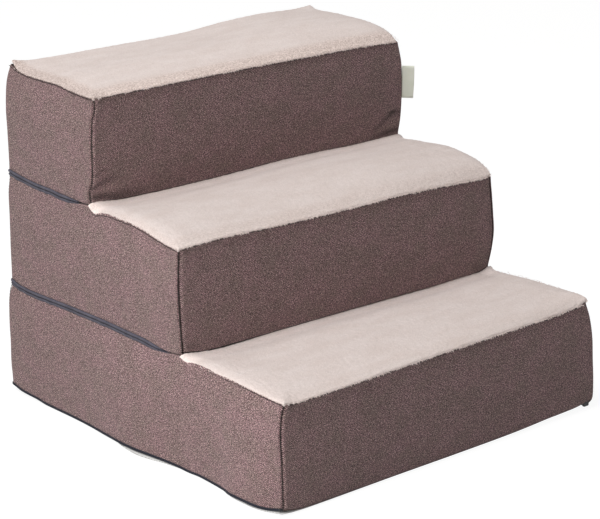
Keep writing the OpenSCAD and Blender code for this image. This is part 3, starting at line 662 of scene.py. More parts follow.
plush_finish, plush_shader = cloth_finish("brushed plush", 0.95, 0.35, 0.4)
plush_place = wire(plush_finish, "ShaderNodeTexCoord").outputs["Object"]
near_seam = wire(plush_finish, "ShaderNodeAttribute", {"attribute_name": "near seam"}).outputs["Fac"]
brushed_place = wire(plush_finish, "ShaderNodeMapping", Vector=plush_place, Scale=(1.0, 2.6, 1.0))
brushed = wire(plush_finish, "ShaderNodeTexNoise", Vector=brushed_place.outputs[0], Scale=24.0, Detail=4.0,
               Roughness=0.6)
tuft_grain = wire(plush_finish, "ShaderNodeTexNoise", Vector=plush_place, Scale=900.0, Detail=2.0, Roughness=0.6)
tuft_clumps = wire(plush_finish, "ShaderNodeTexNoise", Vector=plush_place, Scale=540.0, Detail=3.0, Roughness=0.65)
smooth_tone = two_tones(plush_finish, brushed.outputs[0], (0.722, 0.630, 0.603), (0.772, 0.688, 0.668), (0.36, 0.64))
# along the seams: grainier from the fibre ends, and a darker beige that is painted shade where the pile turns from its
# sheen
seam_band_tone = two_tones(plush_finish, tuft_clumps.outputs[0], (0.520, 0.415, 0.380), (0.860, 0.745, 0.705),
                        (0.36, 0.64))
plush_tone = wire(plush_finish, "ShaderNodeMix", {"data_type": "RGBA"})
for place, source in ((0, near_seam), (6, smooth_tone), (7, seam_band_tone)):
    plush_finish.node_tree.links.new(source, plush_tone.inputs[place])
grain_tone = two_tones(plush_finish, tuft_grain.outputs[0], (0.90, 0.89, 0.88), (1.05, 1.05, 1.05), (0.35, 0.65))
plush_colour = wire(plush_finish, "ShaderNodeVectorMath", {"operation": "MULTIPLY"}, _0=plush_tone.outputs[2],
                    _1=grain_tone)
# painted light: a value on each point scales the plush colour up where it should look more lit and down where it should
# look shaded
painted_plush_light = wire(plush_finish, "ShaderNodeAttribute", {"attribute_name": "pile lean"}).outputs["Fac"]
plush_colour_painted_light = wire(plush_finish, "ShaderNodeVectorMath", {"operation": "SCALE"}, _0=plush_colour.outputs[0], Scale=painted_plush_light)
tuft_height = wire(plush_finish, "ShaderNodeMath", {"operation": "MULTIPLY_ADD"}, _0=tuft_clumps.outputs[0], _1=1.5,
                   _2=tuft_grain.outputs[0])
dressed(plush_finish, plush_shader, plush_colour_painted_light.outputs[0], tuft_height.outputs[0], 0.45, 0.0008)

tread_cut = (0.450, tread_depth * 0.001)
tread_fronts = {}
for slab, body in slab_bodies.items():
    us, vs = spread(slab_width, 7.5, roll_at[:-1]), spread(tread_depth, 7.5, roll_at[:-1])
    front = between(corner_seams[slab, "front_left"][1], corner_seams[slab, "front_right"][1], us)
    front[:, 2] = measured(seam_heights[slab, "front"], us)
    if slab == "top":
        rear = between(corner_seams[slab, "rear_left"][1], corner_seams[slab, "rear_right"][1], us)
        rear[:, 2] = measured(seam_heights[slab, "rear"], us)
        left, right = (side_head(slab, side, vs) for side in ("left", "right"))
    else:
        upper = slab_above[slab]
        rear = between(corner_seams[upper, "front_left"][0], corner_seams[upper, "front_right"][0], us)
        rear[:, 1] += 1.2
        rear[:, 2] = measured(tread_behind[slab], us) - pile_height
        share = tread_depth / (cover_rear - step_fronts[slab])
        left, right = (side_head(slab, side, vs * share * just_short) for side in ("left", "right"))
    for edge in (left, right):
        end = 0 if edge is left else -1
        edge += between(front[end] - edge[0], rear[end] - edge[-1], vs)
    skin = stretched_between(front, rear, left, right, us, vs)
    along = np.sin(np.pi * np.clip(us, 0, 1))[:, None]
    if slab == "top":
        crown = 1.2 * np.maximum(along, 0)**0.45 * np.maximum(np.sin(np.pi * vs), 0)[None, :]**0.45
    else:
        crown = 1.2 * np.maximum(along, 0)**0.45 * (2.6 * vs**0.7 * (1 - vs)**0.9)[None, :]
    skin[:, :, 2] += crown
    far = np.full((len(us), len(vs)), 99.0)
    edges = [(us[:, None] * slab_width + 0 * far, (-1, 0, 0)), ((1 - us[:, None]) * slab_width + 0 * far, (1, 0, 0)),
             (vs[None, :] * tread_depth + 0 * far, (0, -1, 0))]
    if slab == "top":
        edges.append(((1 - vs[None, :]) * tread_depth + 0 * far, (0, 1, 0)))
    skin[:, :, 2] += np.minimum.reduce([np.interp(distance, roll_at,
                                                  plump_up if way[0] > 0 or way[1] > 0 else rubbed_up)
                                        for distance, way in edges])
    for distance, way in edges:
        out = np.interp(distance, roll_at, roll_out)
        if slab != "top" and way[0]:   # the ends of the pile swell where the riser above pinches them
            out = out + 2.0 * np.exp(-((1 - vs[None, :]) * tread_depth / 7.0)**2) * np.exp(-(distance / 9.0)**2)
        skin += out[:, :, None] * np.array(way, float)
    # the pile bunches up where two seams meet
    front_right = {"top": (-0.6, (-4.4, 1.8)), "middle": (1.8, (-2.4, 1.2)), "base": (2.4, (0.4, 0.4))}[slab]
    rear_left = (3.6, (3.0, -3.0) if slab == "top" else (-1.2, 0))
    rear_right = ({"top": 2.6, "middle": 1.6, "base": 4.8}[slab], (-2.0, -2.0) if slab == "top" else (0.2, 0))
    for corner_u, corner_v, (rise, swing) in ((0, 1, rear_left), (1, 1, rear_right), (0, 0, (0.8, (-0.3, -0.3))),
                                              (1, 0, front_right)):
        bunch = 20.0 if (slab, corner_u, corner_v) == ("base", 1, 1) else 9.0
        near = np.exp(-(((us[:, None] - corner_u) * slab_width / 9.0)**2
                        + ((vs[None, :] - corner_v) * tread_depth / bunch)**2))
        skin += near[:, :, None] * np.array((0.8 * swing[0], 0.8 * swing[1], rise))
    mesh = cloth_grid(skin, us, vs, tread_cut)
    seam_band_layer, painted_light_layer = mesh.verts.layers.float.new("near seam"), mesh.verts.layers.float.new("pile lean")
    # how much of the seam tone each point gets, fibre ends and painted shade together
    front_and_left = np.minimum(edges[0][0] * (1.15 if slab == "top" else 2.4), edges[2][0])
    seam_band = {"top": 1.0, "middle": 0.42, "base": 0.2}[slab] * np.clip(2.6 - front_and_left / 7.5, 0, 1)
    # painted light: the pile's colour is lifted over the whole top tread, where more light falls on it, and
    # along the front seams, where the roll turns away from the light; it is darkened along the top's left
    # edge, lifted a little along the lower treads' left edges, and lifted at the rear of the lower treads
    # against the shade cast by the riser above
    lean = ((1.06 if slab == "top" else 1.0) + 0.20 * np.exp(-(edges[2][0] / 3.4)**2) * np.clip(edges[0][0] / 12, 0, 1)
            + (-0.19 if slab == "top" else 0.03) * np.exp(-(edges[0][0] / 12.0)**2)
            + (0 if slab == "top" else 0.27) * np.clip((24 - (1 - vs[None, :]) * tread_depth) / 13, 0, 1))
    table = {}
    for face in mesh.faces:
        for loop in face.loops:
            table[loop.vert] = loop[mesh.loops.layers.uv.active].uv.copy()
    for v, (a, b) in table.items():
        i, j = np.argmin(np.abs(us - a / tread_cut[0])), np.argmin(np.abs(vs - b / tread_cut[1]))
        v[seam_band_layer], v[painted_light_layer] = float(seam_band[i, j]), float(lean[i, j])
    piece = finished(f"{slab}_plush_tread", mesh, plush_finish, body, "plush", f"{slab}_tread")
    cloth_pieces[piece.name] = (piece, tread_cut, 1.2)
    tread_fronts[slab] = (front, left, us, vs)


def thickened(piece, thickness, offset=-1):
    """Gives a sheet its thickness, inwards, or to both sides where offset is 0."""
    thick = piece.modifiers.new("cloth thickness", "SOLIDIFY")
    thick.thickness, thick.offset = thickness, offset


# The covers and treads are blown out one by one: each panel is held along its seams while the foam's
# pressure swells it for twenty frames, and no point may move further than its cap.
for name, (piece, flat, cap) in cloth_pieces.items():
    before = np.array([v.co[:] for v in piece.data.vertices])
    flat_at = {}
    for loop in piece.data.loops:
        flat_at[loop.vertex_index] = piece.data.uv_layers[0].data[loop.index].uv[:]
    held = piece.vertex_groups.new(name="held at the seams")
    cut_across = "riser" in name or "rear" in name
    for index, (a, b) in flat_at.items():
        if cut_across:
            a, b = -b, a
        inset = min(a, flat[0] - a, b, flat[1] - b) * 1000
        held.add([index], float(np.clip(1.6 - inset / 9.0, 0, 1)), "REPLACE")
    blown = piece.modifiers.new("foam pressure", "CLOTH")
    blown.settings.quality = 5
    blown.settings.mass = 0.15
    blown.settings.tension_stiffness = blown.settings.compression_stiffness = 15
    blown.settings.shear_stiffness = 5
    blown.settings.bending_stiffness = 0.5
    blown.settings.use_pressure = True
    blown.settings.uniform_pressure_force = 4.0
    blown.settings.vertex_group_mass = held.name
    blown.settings.effector_weights.gravity = 0
    blown.collision_settings.use_collision = False
    for frame_number in range(1, 21):
        bpy.context.scene.frame_set(frame_number)
    shaped = piece.evaluated_get(bpy.context.evaluated_depsgraph_get())
    after = np.array([v.co[:] for v in shaped.data.vertices])
    moved = after - before
    length = np.linalg.norm(moved, axis=1, keepdims=True)
    moved *= np.minimum(1, cap * 0.001 / np.maximum(length, 1e-9))
    piece.modifiers.remove(blown)
    for v, co in zip(piece.data.vertices, before + moved):
        v.co = co
    piece.vertex_groups.remove(held)
    bpy.context.scene.frame_set(1)
    thickened(piece, cover_thickness)
    rounded = piece.modifiers.new("smooth cloth", "SUBSURF")
    rounded.levels = rounded.render_levels = 2 if "tread" in name else 1
    if "tread" in name:
        clouds = bpy.data.textures.new(name + " pile", "CLOUDS")
        clouds.noise_scale, clouds.noise_depth = 0.0032, 2
        pile = piece.modifiers.new("pile", "DISPLACE")
        pile.texture, pile.texture_coords, pile.strength, pile.mid_level = clouds, "LOCAL", 0.0011, 0.5
    slab = name.split("_")[0]

# Pile fringe: the loose tips of the plush where it rolls over its seams, standing out and down over
# the top of each riser and side panel, thickest along the risers.
fringe_random = np.random.default_rng(41)


def repeated(template, places):
    """One mesh of many copies of a small shape, one copy at each place."""
    rest = np.empty(len(template.vertices) * 3)
    template.vertices.foreach_get("co", rest)
    mesh = bmesh.new()
    for place in places:
        template.transform(place)
        mesh.from_mesh(template)
        template.vertices.foreach_set("co", rest)
    return mesh


tip_shape = bmesh.new()
bmesh.ops.create_cone(tip_shape, cap_ends=True, segments=3, radius1=0.00026, radius2=0.00005, depth=0.0030)
bmesh.ops.translate(tip_shape, verts=tip_shape.verts[:], vec=(0, 0, 0.0012))
pile_tip = as_mesh("pile tip", tip_shape)

for slab, body in slab_bodies.items():
    front, left, us, vs = tread_fronts[slab]
    right = side_head(slab, "right", vs * tread_depth / (cover_rear - step_fronts[slab]) * just_short)
    edges = [(front, us, slab_width, (0, -1, 0), 1.1, 1.0), (left, vs, tread_depth, (-1, 0, 0), 0.45, 0.32),
             (right, vs, tread_depth, (1, 0, 0), 0.45, 0.32)]
    places = []
    for line, shares, length, way, tufts_per_mm, reach in edges:
        way = np.array(way, float)
        along = np.array((way[1], way[0], 0.0))
        for share in fringe_random.uniform(0.01, 0.978 if way[1] else 0.93, int(length * tufts_per_mm)):
            height = fringe_random.uniform(-0.3, 1.4)
            spot = np.array([np.interp(share, shares, line[:, k]) for k in range(3)])
            centre = spot + way * (1.2 if way[1] else 0.5) + np.array((0, 0, height if way[1] else abs(height)))
            lean = way * 0.8 + along * fringe_random.normal(0, 0.3) + np.array((0, 0, -0.9))
            size = reach * fringe_random.choice((0.35, 0.5, 0.75), p=(0.5, 0.35, 0.15))
            for _ in range(5):
                root = centre + along * fringe_random.normal(0, 0.28) + np.array((0, 0, fringe_random.normal(0, 0.2)))
                aim = lean + fringe_random.normal(0, 0.16, 3)
                turn = Vector(aim).to_track_quat("Z", "Y").to_matrix().to_4x4()
                places.append(Matrix.Translation(Vector(root) * 0.001) @ turn @ Matrix.Diagonal((1.1, 1.1, size, 1)))
    fringe = finished(f"{slab}_pile_fringe", repeated(pile_tip, places), plush_finish, body, "plush")
    # painted light: the fringe tips are made paler than the plush they hang from
    for attribute, value in (("near seam", 0.35), ("pile lean", 1.24)):
        fringe.data.attributes.new(attribute, "FLOAT", "POINT").data.foreach_set(
            "value", np.full(len(fringe.data.vertices), value))

# Deck linings: thin black non-woven cloth that closes the base and middle slabs under the slab above,
# laid over the foam and caught in the fold seam in front.
lining_finish, lining_shader = cloth_finish("non-woven lining", 0.9, 0.1)
lining_place = wire(lining_finish, "ShaderNodeTexCoord").outputs["Object"]
lining_dimples = wire(lining_finish, "ShaderNodeTexVoronoi", {"feature": "F1"}, Vector=lining_place, Scale=420.0,
                      Randomness=0.25)
lining_fibres = wire(lining_finish, "ShaderNodeTexNoise", Vector=lining_place, Scale=700.0, Detail=4.0)
lining_tone = wire(lining_finish, "ShaderNodeMath", {"operation": "MULTIPLY"}, _0=lining_dimples.outputs["Distance"],
                   _1=lining_fibres.outputs[0])
lining_colour = two_tones(lining_finish, lining_tone.outputs[0], (0.018, 0.017, 0.018), (0.055, 0.052, 0.053),
                          (0.05, 0.5))
dressed(lining_finish, lining_shader, lining_colour, lining_tone.outputs[0], 0.5, 0.0004)
for slab, body in (("base", "base_step"), ("middle", "middle_step")):
    low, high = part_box(slab + "_deck_lining")
    low.x, high.x, high.y = low.x - 0.0028, high.x + 0.0028, high.y + 0.0028   # sewn to the zip's tape
    width, depth = high.x - low.x, high.y - low.y
    lining = bmesh.new()
    bmesh.ops.create_grid(lining, x_segments=60, y_segments=40, size=0.5)
    for v in lining.verts:
        x, y = v.co.x + 0.5, v.co.y + 0.5
        ripple = 0.00022 * math.sin(31 * x + 9 * math.sin(6 * y)) * math.sin(21 * y + 7 * math.sin(5 * x))
        v.co = Vector((low.x + x * width, low.y + y * depth, high.z - 0.0004 + ripple))
    piece = finished(f"{slab}_deck_cloth", lining, lining_finish, body, "lining", f"{slab}_deck_lining")
    thickened(piece, 0.0005)

# Fold seams: the turned-in edges of riser, tread and lining, sewn into one thin roll that each slab
# folds on; the lowest one holds the grip cloth along the front.
def threaded_on(name, points, radius, finish, body, slot, *nodes):
    """A round roll along a line of points."""
    line = bpy.data.curves.new(name, "CURVE")
    line.dimensions, line.bevel_depth, line.bevel_resolution, line.use_fill_caps = "3D", radius, 2, True
    spline = line.splines.new("POLY")
    spline.points.add(len(points) - 1)
    for point, co in zip(spline.points, points):
        point.co = (*(np.array(co) * 0.001), 1)
    shape = bpy.data.objects.new(name, line)
    mesh = bmesh.new()
    data = bpy.data.meshes.new_from_object(shape)
    mesh.from_mesh(data)
    bpy.data.objects.remove(shape)
    bpy.data.meshes.remove(data)
    bmesh.ops.remove_doubles(mesh, verts=mesh.verts[:], dist=1e-6)
    bmesh.ops.recalc_face_normals(mesh, faces=mesh.faces[:])
    return finished(name, mesh, finish, body, slot, *nodes)


roll_finish, roll_shader = cloth_finish("rolled seam cloth", 0.92, 0.15)
roll_place = wire(roll_finish, "ShaderNodeTexCoord").outputs["Object"]
roll_yarn = wire(roll_finish, "ShaderNodeTexWave", {"bands_direction": "DIAGONAL"}, Vector=roll_place, Scale=380.0,
                 Distortion=1.5)
roll_colour = two_tones(roll_finish, roll_yarn.outputs["Fac"], (0.055, 0.033, 0.032), (0.23, 0.165, 0.155), (0.1, 0.9))
dressed(roll_finish, roll_shader, roll_colour, roll_yarn.outputs["Fac"])
seam_shares = np.linspace(0.008, 0.992, 90)
for slab, body in (("base", "base_step"), ("middle", "base_step"), ("top", "middle_step")):
    roll = between(corner_seams[slab, "front_left"][0], corner_seams[slab, "front_right"][0], seam_shares)
    roll[:, 1] += 2.4
    roll[:, 2] = measured(seam_heights[slab, "riser_foot"], seam_shares) + (1.0 if slab == "base" else -0.4)
    threaded_on(f"{slab}_fold_roll", roll, 0.0010, roll_finish, body, "woven_cover", f"{slab}_fold_seam")

# Side gussets: behind each riser foot the side seam is sewn shut for about 20 mm. A small
# three-cornered pleat of cover cloth folds inside it; on the real stair it opens when the slab above is
# folded forward, but here it is fixed in place and rides on neither slab.
def joined(whole, part):
    """Puts one bmesh into another."""
    data = as_mesh("part", part)
    whole.from_mesh(data)
    bpy.data.meshes.remove(data)


for slab, lower_body, upper_body in (("middle", "base_step", "middle_step"), ("top", "middle_step", "top_step")):
    gusset = bmesh.new()
    for side, mirror in (("left", -1), ("right", 1)):
        half = bmesh.new()
        bmesh.ops.create_grid(half, x_segments=8, y_segments=8, size=0.5)
        line = joint_line(slab, side, [0.0])[0]
        for v in half.verts:
            run, fold = (v.co.x + 0.5) * 19.0 + 0.4, v.co.y * 2
            inset = 1.4 + 0.6 * run * (1 - abs(fold))
            v.co = Vector((line[0] - mirror * inset, step_fronts[slab] + run + 1.6, line[2] + fold * 1.3)) * 0.001
        joined(gusset, half)
    bmesh.ops.recalc_face_normals(gusset, faces=gusset.faces[:])
    piece = finished(f"{slab}_side_gussets", gusset, roll_finish, None, "woven_cover")
    thickened(piece, 0.0004, 0)
    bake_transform(piece)

# Grip cloth: light grey knitted sole with small rubber dots, laid under the base slab. It is sewn
# along the front and closed by the floor zip round the other three sides.
grip_low, grip_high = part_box("grip_panel")
grip_finish, grip_shader = cloth_finish("grip cloth", 0.85, 0.1)
grip_place = wire(grip_finish, "ShaderNodeTexCoord").outputs["Object"]
grip_knit = wire(grip_finish, "ShaderNodeTexWave", {"bands_direction": "X"}, Vector=grip_place, Scale=330.0,
                 Distortion=2.0, Detail=2.0)
grip_colour = two_tones(grip_finish, grip_knit.outputs["Fac"], (0.50, 0.50, 0.50), (0.66, 0.66, 0.655))
dressed(grip_finish, grip_shader, grip_colour, grip_knit.outputs["Fac"], 0.4)
dot_finish, dot_shader = cloth_finish("rubber dots", 0.6, 0.0)
dot_place = wire(dot_finish, "ShaderNodeTexCoord").outputs["Object"]
dot_dust = wire(dot_finish, "ShaderNodeTexNoise", Vector=dot_place, Scale=240.0, Detail=3.0)
dressed(dot_finish, dot_shader,
        two_tones(dot_finish, dot_dust.outputs[0], (0.50, 0.50, 0.49), (0.66, 0.66, 0.65), (0.3, 0.7)))


def sole_lift(x, y):
    """The sole is pulled up a little where the cover's left corners lift off the floor."""
    zip_lift = float(measured(joint_heights["base", "left"], [(y + cover_rear) / stair_depth])[0])
    side = max(zip_lift - 2.2, 0) * 1.2 * math.exp(-max(x + 219, 0) / 14)
    foot_lift = float(measured(seam_heights["base", "riser_foot"], [(x + half_width) / slab_width])[0] - 0.8)
    front = foot_lift * math.exp(-max(y + 230, 0) / 14)
    return max(side, front, 0) * 0.62


# its edges are sewn under the zip's tape, so it reaches a little past its solid at the right and rear
grip_width, grip_depth = grip_high.x - grip_low.x + 0.002, grip_high.y - grip_low.y + 0.0095
grip = bmesh.new()
bmesh.ops.create_grid(grip, x_segments=90, y_segments=90, size=0.5)
for v in grip.verts:
    x, y = grip_low.x + (v.co.x + 0.5) * grip_width, grip_low.y + (v.co.y + 0.5) * grip_depth
    share = (y * 1000 + cover_rear) / stair_depth
    bulge = float(measured(left_foot_bulge, [share])[0]) + 4.0 + 6.5 * math.exp(-((share - 0.48) / 0.09)**2)
    out = 0.001 * bulge * min(max((-x * 1000 - 205) / 14, 0), 1)
    v.co = Vector((x - out, y, 0.0015 + 0.001 * sole_lift(x * 1000, y * 1000)))
grip_piece = finished("grip_sole", grip, grip_finish, "grip_flap", "grip_cloth", "grip_panel")
thickened(grip_piece, 0.0013)
dot_shape = bmesh.new()
bmesh.ops.create_cone(dot_shape, cap_ends=True, segments=6, radius1=0.0007, radius2=0.0013, depth=0.0006)
rubber_dot = as_mesh("rubber dot", dot_shape)
dot_places = []
for row in range(56):
    for column in range(54):
        x = -215.0 + column * 8.0 + (4.0 if row % 2 else 0.0)
        y = -226.0 + row * 8.0
        if abs(x) < 216 and y < 223:
            dot_places.append(Matrix.Translation((x * 0.001, y * 0.001, 0.0003 + 0.001 * sole_lift(x, y))))
dots_piece = finished("grip_dots", repeated(rubber_dot, dot_places), dot_finish, "grip_flap", "grip_cloth")

# Zips: slate coil zips that run from behind the left foot of a riser round the rear to the right. Each
# half is a woven tape with a rounded edge, and a row of nylon teeth sewn to it.
tape_finish, tape_shader = cloth_finish("slate zip tape", 0.8, 0.15)
tape_flat = wire(tape_finish, "ShaderNodeUVMap", {"uv_map": "flat cut"}).outputs[0]
tape_ribs = wire(tape_finish, "ShaderNodeTexWave", {"bands_direction": "DIAGONAL"}, Vector=tape_flat, Scale=420.0,
                 Distortion=0.6)
tape_patch = wire(tape_finish, "ShaderNodeTexNoise", Vector=tape_flat, Scale=60.0, Detail=3.0)
tape_mix = wire(tape_finish, "ShaderNodeMath", {"operation": "MULTIPLY_ADD"}, _0=tape_ribs.outputs["Fac"], _1=0.5,
                _2=tape_patch.outputs[0])
tape_colour = two_tones(tape_finish, tape_mix.outputs[0], (0.036, 0.034, 0.050), (0.112, 0.107, 0.142), (0.3, 1.1))
dressed(tape_finish, tape_shader, tape_colour, tape_ribs.outputs["Fac"], 0.4, 0.0002)
# painted shade: a darker copy of the zip tape for the floor zip, which lies in the shade under the cover's foot
shaded_tape, shaded_shader = cloth_finish("floor zip tape", 0.85, 0.05)
shaded_flat = wire(shaded_tape, "ShaderNodeUVMap", {"uv_map": "flat cut"}).outputs[0]
shaded_ribs = wire(shaded_tape, "ShaderNodeTexWave", {"bands_direction": "DIAGONAL"}, Vector=shaded_flat, Scale=420.0,
                   Distortion=0.6)
dressed(shaded_tape, shaded_shader,
        two_tones(shaded_tape, shaded_ribs.outputs["Fac"], (0.012, 0.013, 0.020), (0.034, 0.036, 0.052)))
coil_finish, coil_shader = cloth_finish("nylon coil", 0.4, 0.0)
coil_place = wire(coil_finish, "ShaderNodeTexCoord").outputs["Object"]
coil_noise = wire(coil_finish, "ShaderNodeTexNoise", Vector=coil_place, Scale=500.0, Detail=2.0)
coil_colour = two_tones(coil_finish, coil_noise.outputs[0], (0.020, 0.022, 0.032), (0.050, 0.054, 0.075), (0.3, 0.7))
dressed(coil_finish, coil_shader, coil_colour)
tooth_shape = bmesh.new()
bmesh.ops.create_cube(tooth_shape, size=1)
bmesh.ops.scale(tooth_shape, vec=(0.0009, 0.0013, 0.0013), verts=tooth_shape.verts[:])
bmesh.ops.bevel(tooth_shape, geom=tooth_shape.edges[:], offset=0.0003, segments=1, profile=0.5, affect="EDGES",
                material=-1)
coil_tooth = as_mesh("coil tooth", tooth_shape)
floor_zip_middle, tooth_pitch, band_points = 1.9, 1.5, 17


def zip_path(slab):
    """Middle line of a zip and the way out of the cover, at every tooth from its left to its right end."""
    shares = np.linspace(0, 1, 160)
    left, rear, right = (joint_line(slab, side, shares) for side in ("left", "rear", "right"))
    whole = np.concatenate([left, rear[1:], right[::-1][1:]])
    if slab == "base":
        whole[:, 2] += floor_zip_middle
    run = np.concatenate([[0], np.cumsum(np.linalg.norm(np.diff(whole[:, :2], axis=0), axis=1))])
    at = np.arange(0, run[-1], tooth_pitch)
    path = np.stack([np.interp(at, run, whole[:, k]) for k in range(3)], 1)
    soften = np.exp(-(np.arange(-6, 7) / 2.4)**2)
    soften /= soften.sum()
    for k in range(2):
        path[:, k] = np.convolve(np.pad(path[:, k], 6, mode="edge"), soften, mode="valid")
    start = step_fronts[slab] + (3.0 if slab == "base" else seam_end + 0.8)
    path = path[path[:, 1] > start]
    way = np.gradient(path[:, :2], axis=0)
    way /= np.linalg.norm(way, axis=1, keepdims=True)
    return path, np.stack([-way[:, 1], way[:, 0], 0 * way[:, 0]], 1)


for zip_name, slab, upper_body, lower_body in (("floor", "base", "base_step", "grip_flap"),
                                               ("middle", "middle", "middle_step", "base_step"),
                                               ("top", "top", "top_step", "middle_step")):
    path, outwards = zip_path(slab)
    open_half = np.full(len(path), 1.5) if slab == "base" else opening(slab, path)
    for half_name, up, body in (("upper", 1, upper_body), ("lower", -1, lower_body)):
        start, end = 0.42, (open_half + 0.3 if up > 0 else open_half - 1.1)
        if slab == "base":
            start, end = 0.15, np.full(len(path), 1.2 if up > 0 else 1.6)
        tall = np.maximum(end - start, 0.35)
        full = np.minimum(1, tall / 2.0)
        run = np.arange(len(path)) * tooth_pitch
        waves = np.sin(run / 3.4 + 2.2 * np.sin(run / 11)) * np.sin(run / 17 + 1)
        pleat = np.clip(waves, 0, 1) * (slab != "base") * full
        turns = np.linspace(-math.pi / 2, 1.5 * math.pi, band_points)
        ring = np.stack([np.cos(turns), np.sin(turns)], 1)
        shape = np.empty((len(path), band_points, 3))
        for k, (c, s) in enumerate(ring):
            depth = (-0.95 if up > 0 else -1.25) + (1.25 if c > 0 else 0.55) * np.sign(c) * abs(c)**0.8
            hidden = max(0, -s) if up < 0 and slab != "base" else 0.0
            shape[:, k] = path + outwards * ((depth + 0.9 * pleat * max(c, 0)) * full - 1.2 * hidden)[:, None]
            shape[:, k, 2] += up * (start + tall / 2) + tall / 2 * s - (2.4 + 0.5 * pleat) * hidden
        band_cut = (len(path) * tooth_pitch * 0.001, 0.008)
        tape = cloth_grid(shape, np.linspace(0, 1, len(path)), np.linspace(0, 1, band_points), band_cut)
        bmesh.ops.remove_doubles(tape, verts=tape.verts[:], dist=1e-7)
        bmesh.ops.holes_fill(tape, edges=tape.edges[:])
        bmesh.ops.recalc_face_normals(tape, faces=tape.faces[:])
        row_name, woven = f"{zip_name}_zip_{half_name}", shaded_tape if slab == "base" else tape_finish
        finished(f"{row_name}_band", tape, woven, body, "zip_tape", f"{row_name}_tape")
        places = []
        for k in range(2 if up > 0 else 3, len(path) - 2):
            way = Vector(outwards[k])
            frame_of = Matrix(((way.y, way.x, 0, 0), (-way.x, way.y, 0, 0), (0, 0, 1, 0), (0, 0, 0, 1)))
            middle = (path[k] + path[k + 1]) / 2 if up > 0 else path[k]
            centre = middle - outwards[k] * 1.5 + np.array((0, 0, up * 0.62))
            places.append(Matrix.Translation(Vector(centre) * 0.001) @ frame_of)
        finished(f"{row_name}_coil", repeated(coil_tooth, places), coil_finish, body, "zip_teeth", f"{row_name}_teeth")

# Sliders, pulls and end stops: small black enamelled zinc castings, worn a little brighter where
# fingers rub. The sliders, pulls and upper stops are the frame's own; the floor zip's stops are clamped
# on where its two lifted ends run.
enamel = bpy.data.materials.new("black enamel")
enamel.use_nodes = True
enamel_shader = enamel.node_tree.nodes["Principled BSDF"]
enamel_shader.inputs["Metallic"].default_value = 0.6
enamel_place = wire(enamel, "ShaderNodeTexCoord").outputs["Object"]
enamel_wear = wire(enamel, "ShaderNodeTexNoise", Vector=enamel_place, Scale=320.0, Detail=5.0, Roughness=0.65)
enamel_rough = wire(enamel, "ShaderNodeMapRange", Value=enamel_wear.outputs[0], To_Min=0.30, To_Max=0.55)
enamel.node_tree.links.new(enamel_rough.outputs[0], enamel_shader.inputs["Roughness"])
enamel_colour = two_tones(enamel, enamel_wear.outputs[0], (0.016, 0.016, 0.018), (0.075, 0.074, 0.078), (0.4, 0.75))
dressed(enamel, enamel_shader, enamel_colour, enamel_wear.outputs[0], 0.15, 0.0002)
for zip_name in ("floor", "middle", "top"):
    for part in ("stops", "slider", "pull"):
        if (zip_name, part) != ("floor", "stops"):
            for metal in bpy.data.objects[f"{zip_name}_zip_{part}"].material_slots:
                metal.material = enamel
stops_low, stops_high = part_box("floor_zip_stops")
clamped = bmesh.new()
stops_front, stops_top = stops_low.y * 1000, stops_high.z * 1000
for low, high in (((-224.6, -229.0, 5.6), (-221.4, -226.6, 8.6)),
                  ((221.0, stops_front, 2.2), (229.0, stops_front + 3.4, stops_top + 2.2))):
    block = bmesh.new()
    bmesh.ops.create_cube(block, size=1)
    bmesh.ops.bevel(block, geom=block.edges[:], offset=0.14, segments=3, profile=0.5, affect="EDGES", material=-1)
    for v in block.verts:
        v.co = Vector([(a + b) / 2 + share * (b - a) for a, b, share in zip(low, high, v.co)]) * 0.001
    joined(clamped, block)
finished("floor_end_stops", clamped, enamel, "base_step", "zip_metal", "floor_zip_stops")

# Side label: a strip of sage satin ribbon, folded double and caught in the right corner seam of the
# top riser. It is bare, and hangs a little low at its outer edge.
label_finish, label_shader = cloth_finish("satin ribbon", 0.55, 0.2)
label_flat = wire(label_finish, "ShaderNodeUVMap", {"uv_map": "flat cut"}).outputs[0]
ribbon_yarn = wire(label_finish, "ShaderNodeTexWave", {"bands_direction": "Y"}, Vector=label_flat, Scale=900.0,
                   Distortion=0.4)
ribbon_cloud = wire(label_finish, "ShaderNodeTexNoise", Vector=label_flat, Scale=90.0, Detail=3.0)
ribbon_mix = wire(label_finish, "ShaderNodeMath", {"operation": "MULTIPLY_ADD"}, _0=ribbon_yarn.outputs["Fac"], _1=0.35,
                  _2=ribbon_cloud.outputs[0])
label_colour = two_tones(label_finish, ribbon_mix.outputs[0], (0.90, 0.94, 0.80), (0.98, 1.0, 0.91), (0.35, 1.0))
dressed(label_finish, label_shader, label_colour, ribbon_yarn.outputs["Fac"], 0.3, 0.00012)
label_low, label_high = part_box("side_label")
label_y = (label_low.y + label_high.y) / 2 * 1000
label_root, label_fold, ply_off = 226.6, 242.6, 0.28   # each ply lies off the label's middle by the last
fold_turn = np.linspace(-math.pi / 2, math.pi / 2, 7)
label_run = ([(x, -ply_off) for x in np.linspace(label_root, label_fold, 12)]
             + [(label_fold + ply_off * math.cos(a), ply_off * math.sin(a)) for a in fold_turn[1:-1]]
             + [(x, ply_off) for x in np.linspace(label_fold, label_root, 12)])
label_heights = np.linspace(0, 1, 14)
label_shape = np.empty((len(label_run), len(label_heights), 3))
for i, (x, y) in enumerate(label_run):
    for j, share in enumerate(label_heights):
        out = (x - 227) / 19
        bow = 5.0 * max(out, 0)**1.3 * (0.8 + 0.2 * math.sin(2.6 * share))
        label_shape[i, j] = (x - 1.0 * (1 - share) * out, label_y + y - bow,
                             label_low.z * 1000 + share * (label_high.z - label_low.z) * 1000 - 2.6 * out + 0.8)
label_mesh = cloth_grid(label_shape, np.linspace(0, 1, len(label_run)), label_heights, (0.039, 0.039))
label_piece = finished("ribbon_label", label_mesh, label_finish, "top_step", "label", "side_label")
thickened(label_piece, 0.00028, 0)

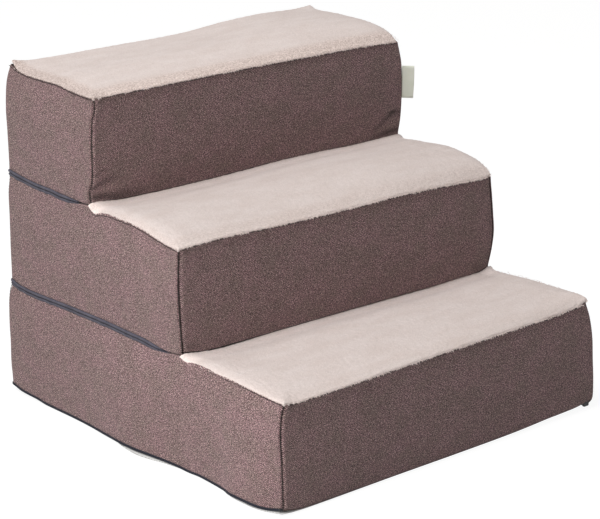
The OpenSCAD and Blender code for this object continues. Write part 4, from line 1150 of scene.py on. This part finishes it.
# Seam thread: plum polyester lockstitch. It shows as a thin dark line down in the left front seams,
# as short dashes under the plush and on the sewn-shut ends of the zips, and hides in the other corners.
thread_finish, thread_shader = cloth_finish("seam thread", 0.6, 0.1)
thread_place = wire(thread_finish, "ShaderNodeTexCoord").outputs["Object"]
thread_twist = wire(thread_finish, "ShaderNodeTexWave", {"bands_direction": "DIAGONAL"}, Vector=thread_place,
                    Scale=1500.0)
thread_colour = two_tones(thread_finish, thread_twist.outputs["Fac"], (0.012, 0.008, 0.008), (0.045, 0.028, 0.028))
dressed(thread_finish, thread_shader, thread_colour)
stitch_shape = bmesh.new()
bmesh.ops.create_uvsphere(stitch_shape, u_segments=6, v_segments=5, radius=0.5)
bmesh.ops.scale(stitch_shape, vec=(0.00088, 0.00088, 0.0041), verts=stitch_shape.verts[:])
stitch = as_mesh("stitch", stitch_shape)


def stitched(line, beside=(0, 0, 0)):
    """Places one stitch between every two points of a line, a little beside it."""
    return [Matrix.Translation(Vector((a + b) / 2 + np.array(beside)) * 0.001)
            @ Vector(b - a).to_track_quat("Z", "Y").to_matrix().to_4x4() for a, b in zip(line[:-1], line[1:])]


for slab, body in slab_bodies.items():
    places = []
    for corner, inwards in (("front_left", (1.8, 1.9, 0)), ("front_right", (-1.0, 3.6, 0)),
                            ("rear_left", (1.0, -3.6, 0)), ("rear_right", (-1.0, -3.6, 0))):
        places += stitched(corner_seam(slab, corner, np.linspace(0.02, 0.98, 34)), inwards)
    # the plush is overlocked to the riser and sides: short stitches show just under its edge, near black, and also
    # stand in for the shade line there
    front, left, us, vs = tread_fronts[slab]
    for line, shares, way in ((front, us, (0, -0.1, -1.5)), (left, vs, (-0.1, 0, -1.4))):
        length = abs(line[-1] - line[0]).max()
        at = np.linspace(0.01, 0.99, round(length / 3.1))
        run = np.stack([np.interp(at, shares, line[:, k]) for k in range(3)], 1) + np.array(way)
        places += stitched(run)
    if slab != "base":
        for side, mirror in (("left", -1), ("right", 1)):
            depth = cover_rear - step_fronts[slab]
            places += stitched(joint_line(slab, side, np.linspace(2.5, seam_end, 7) / depth), (-mirror * 1.0, 0, 0))
    finished(f"{slab}_seam_stitches", repeated(stitch, places), thread_finish, body, "seam_thread")
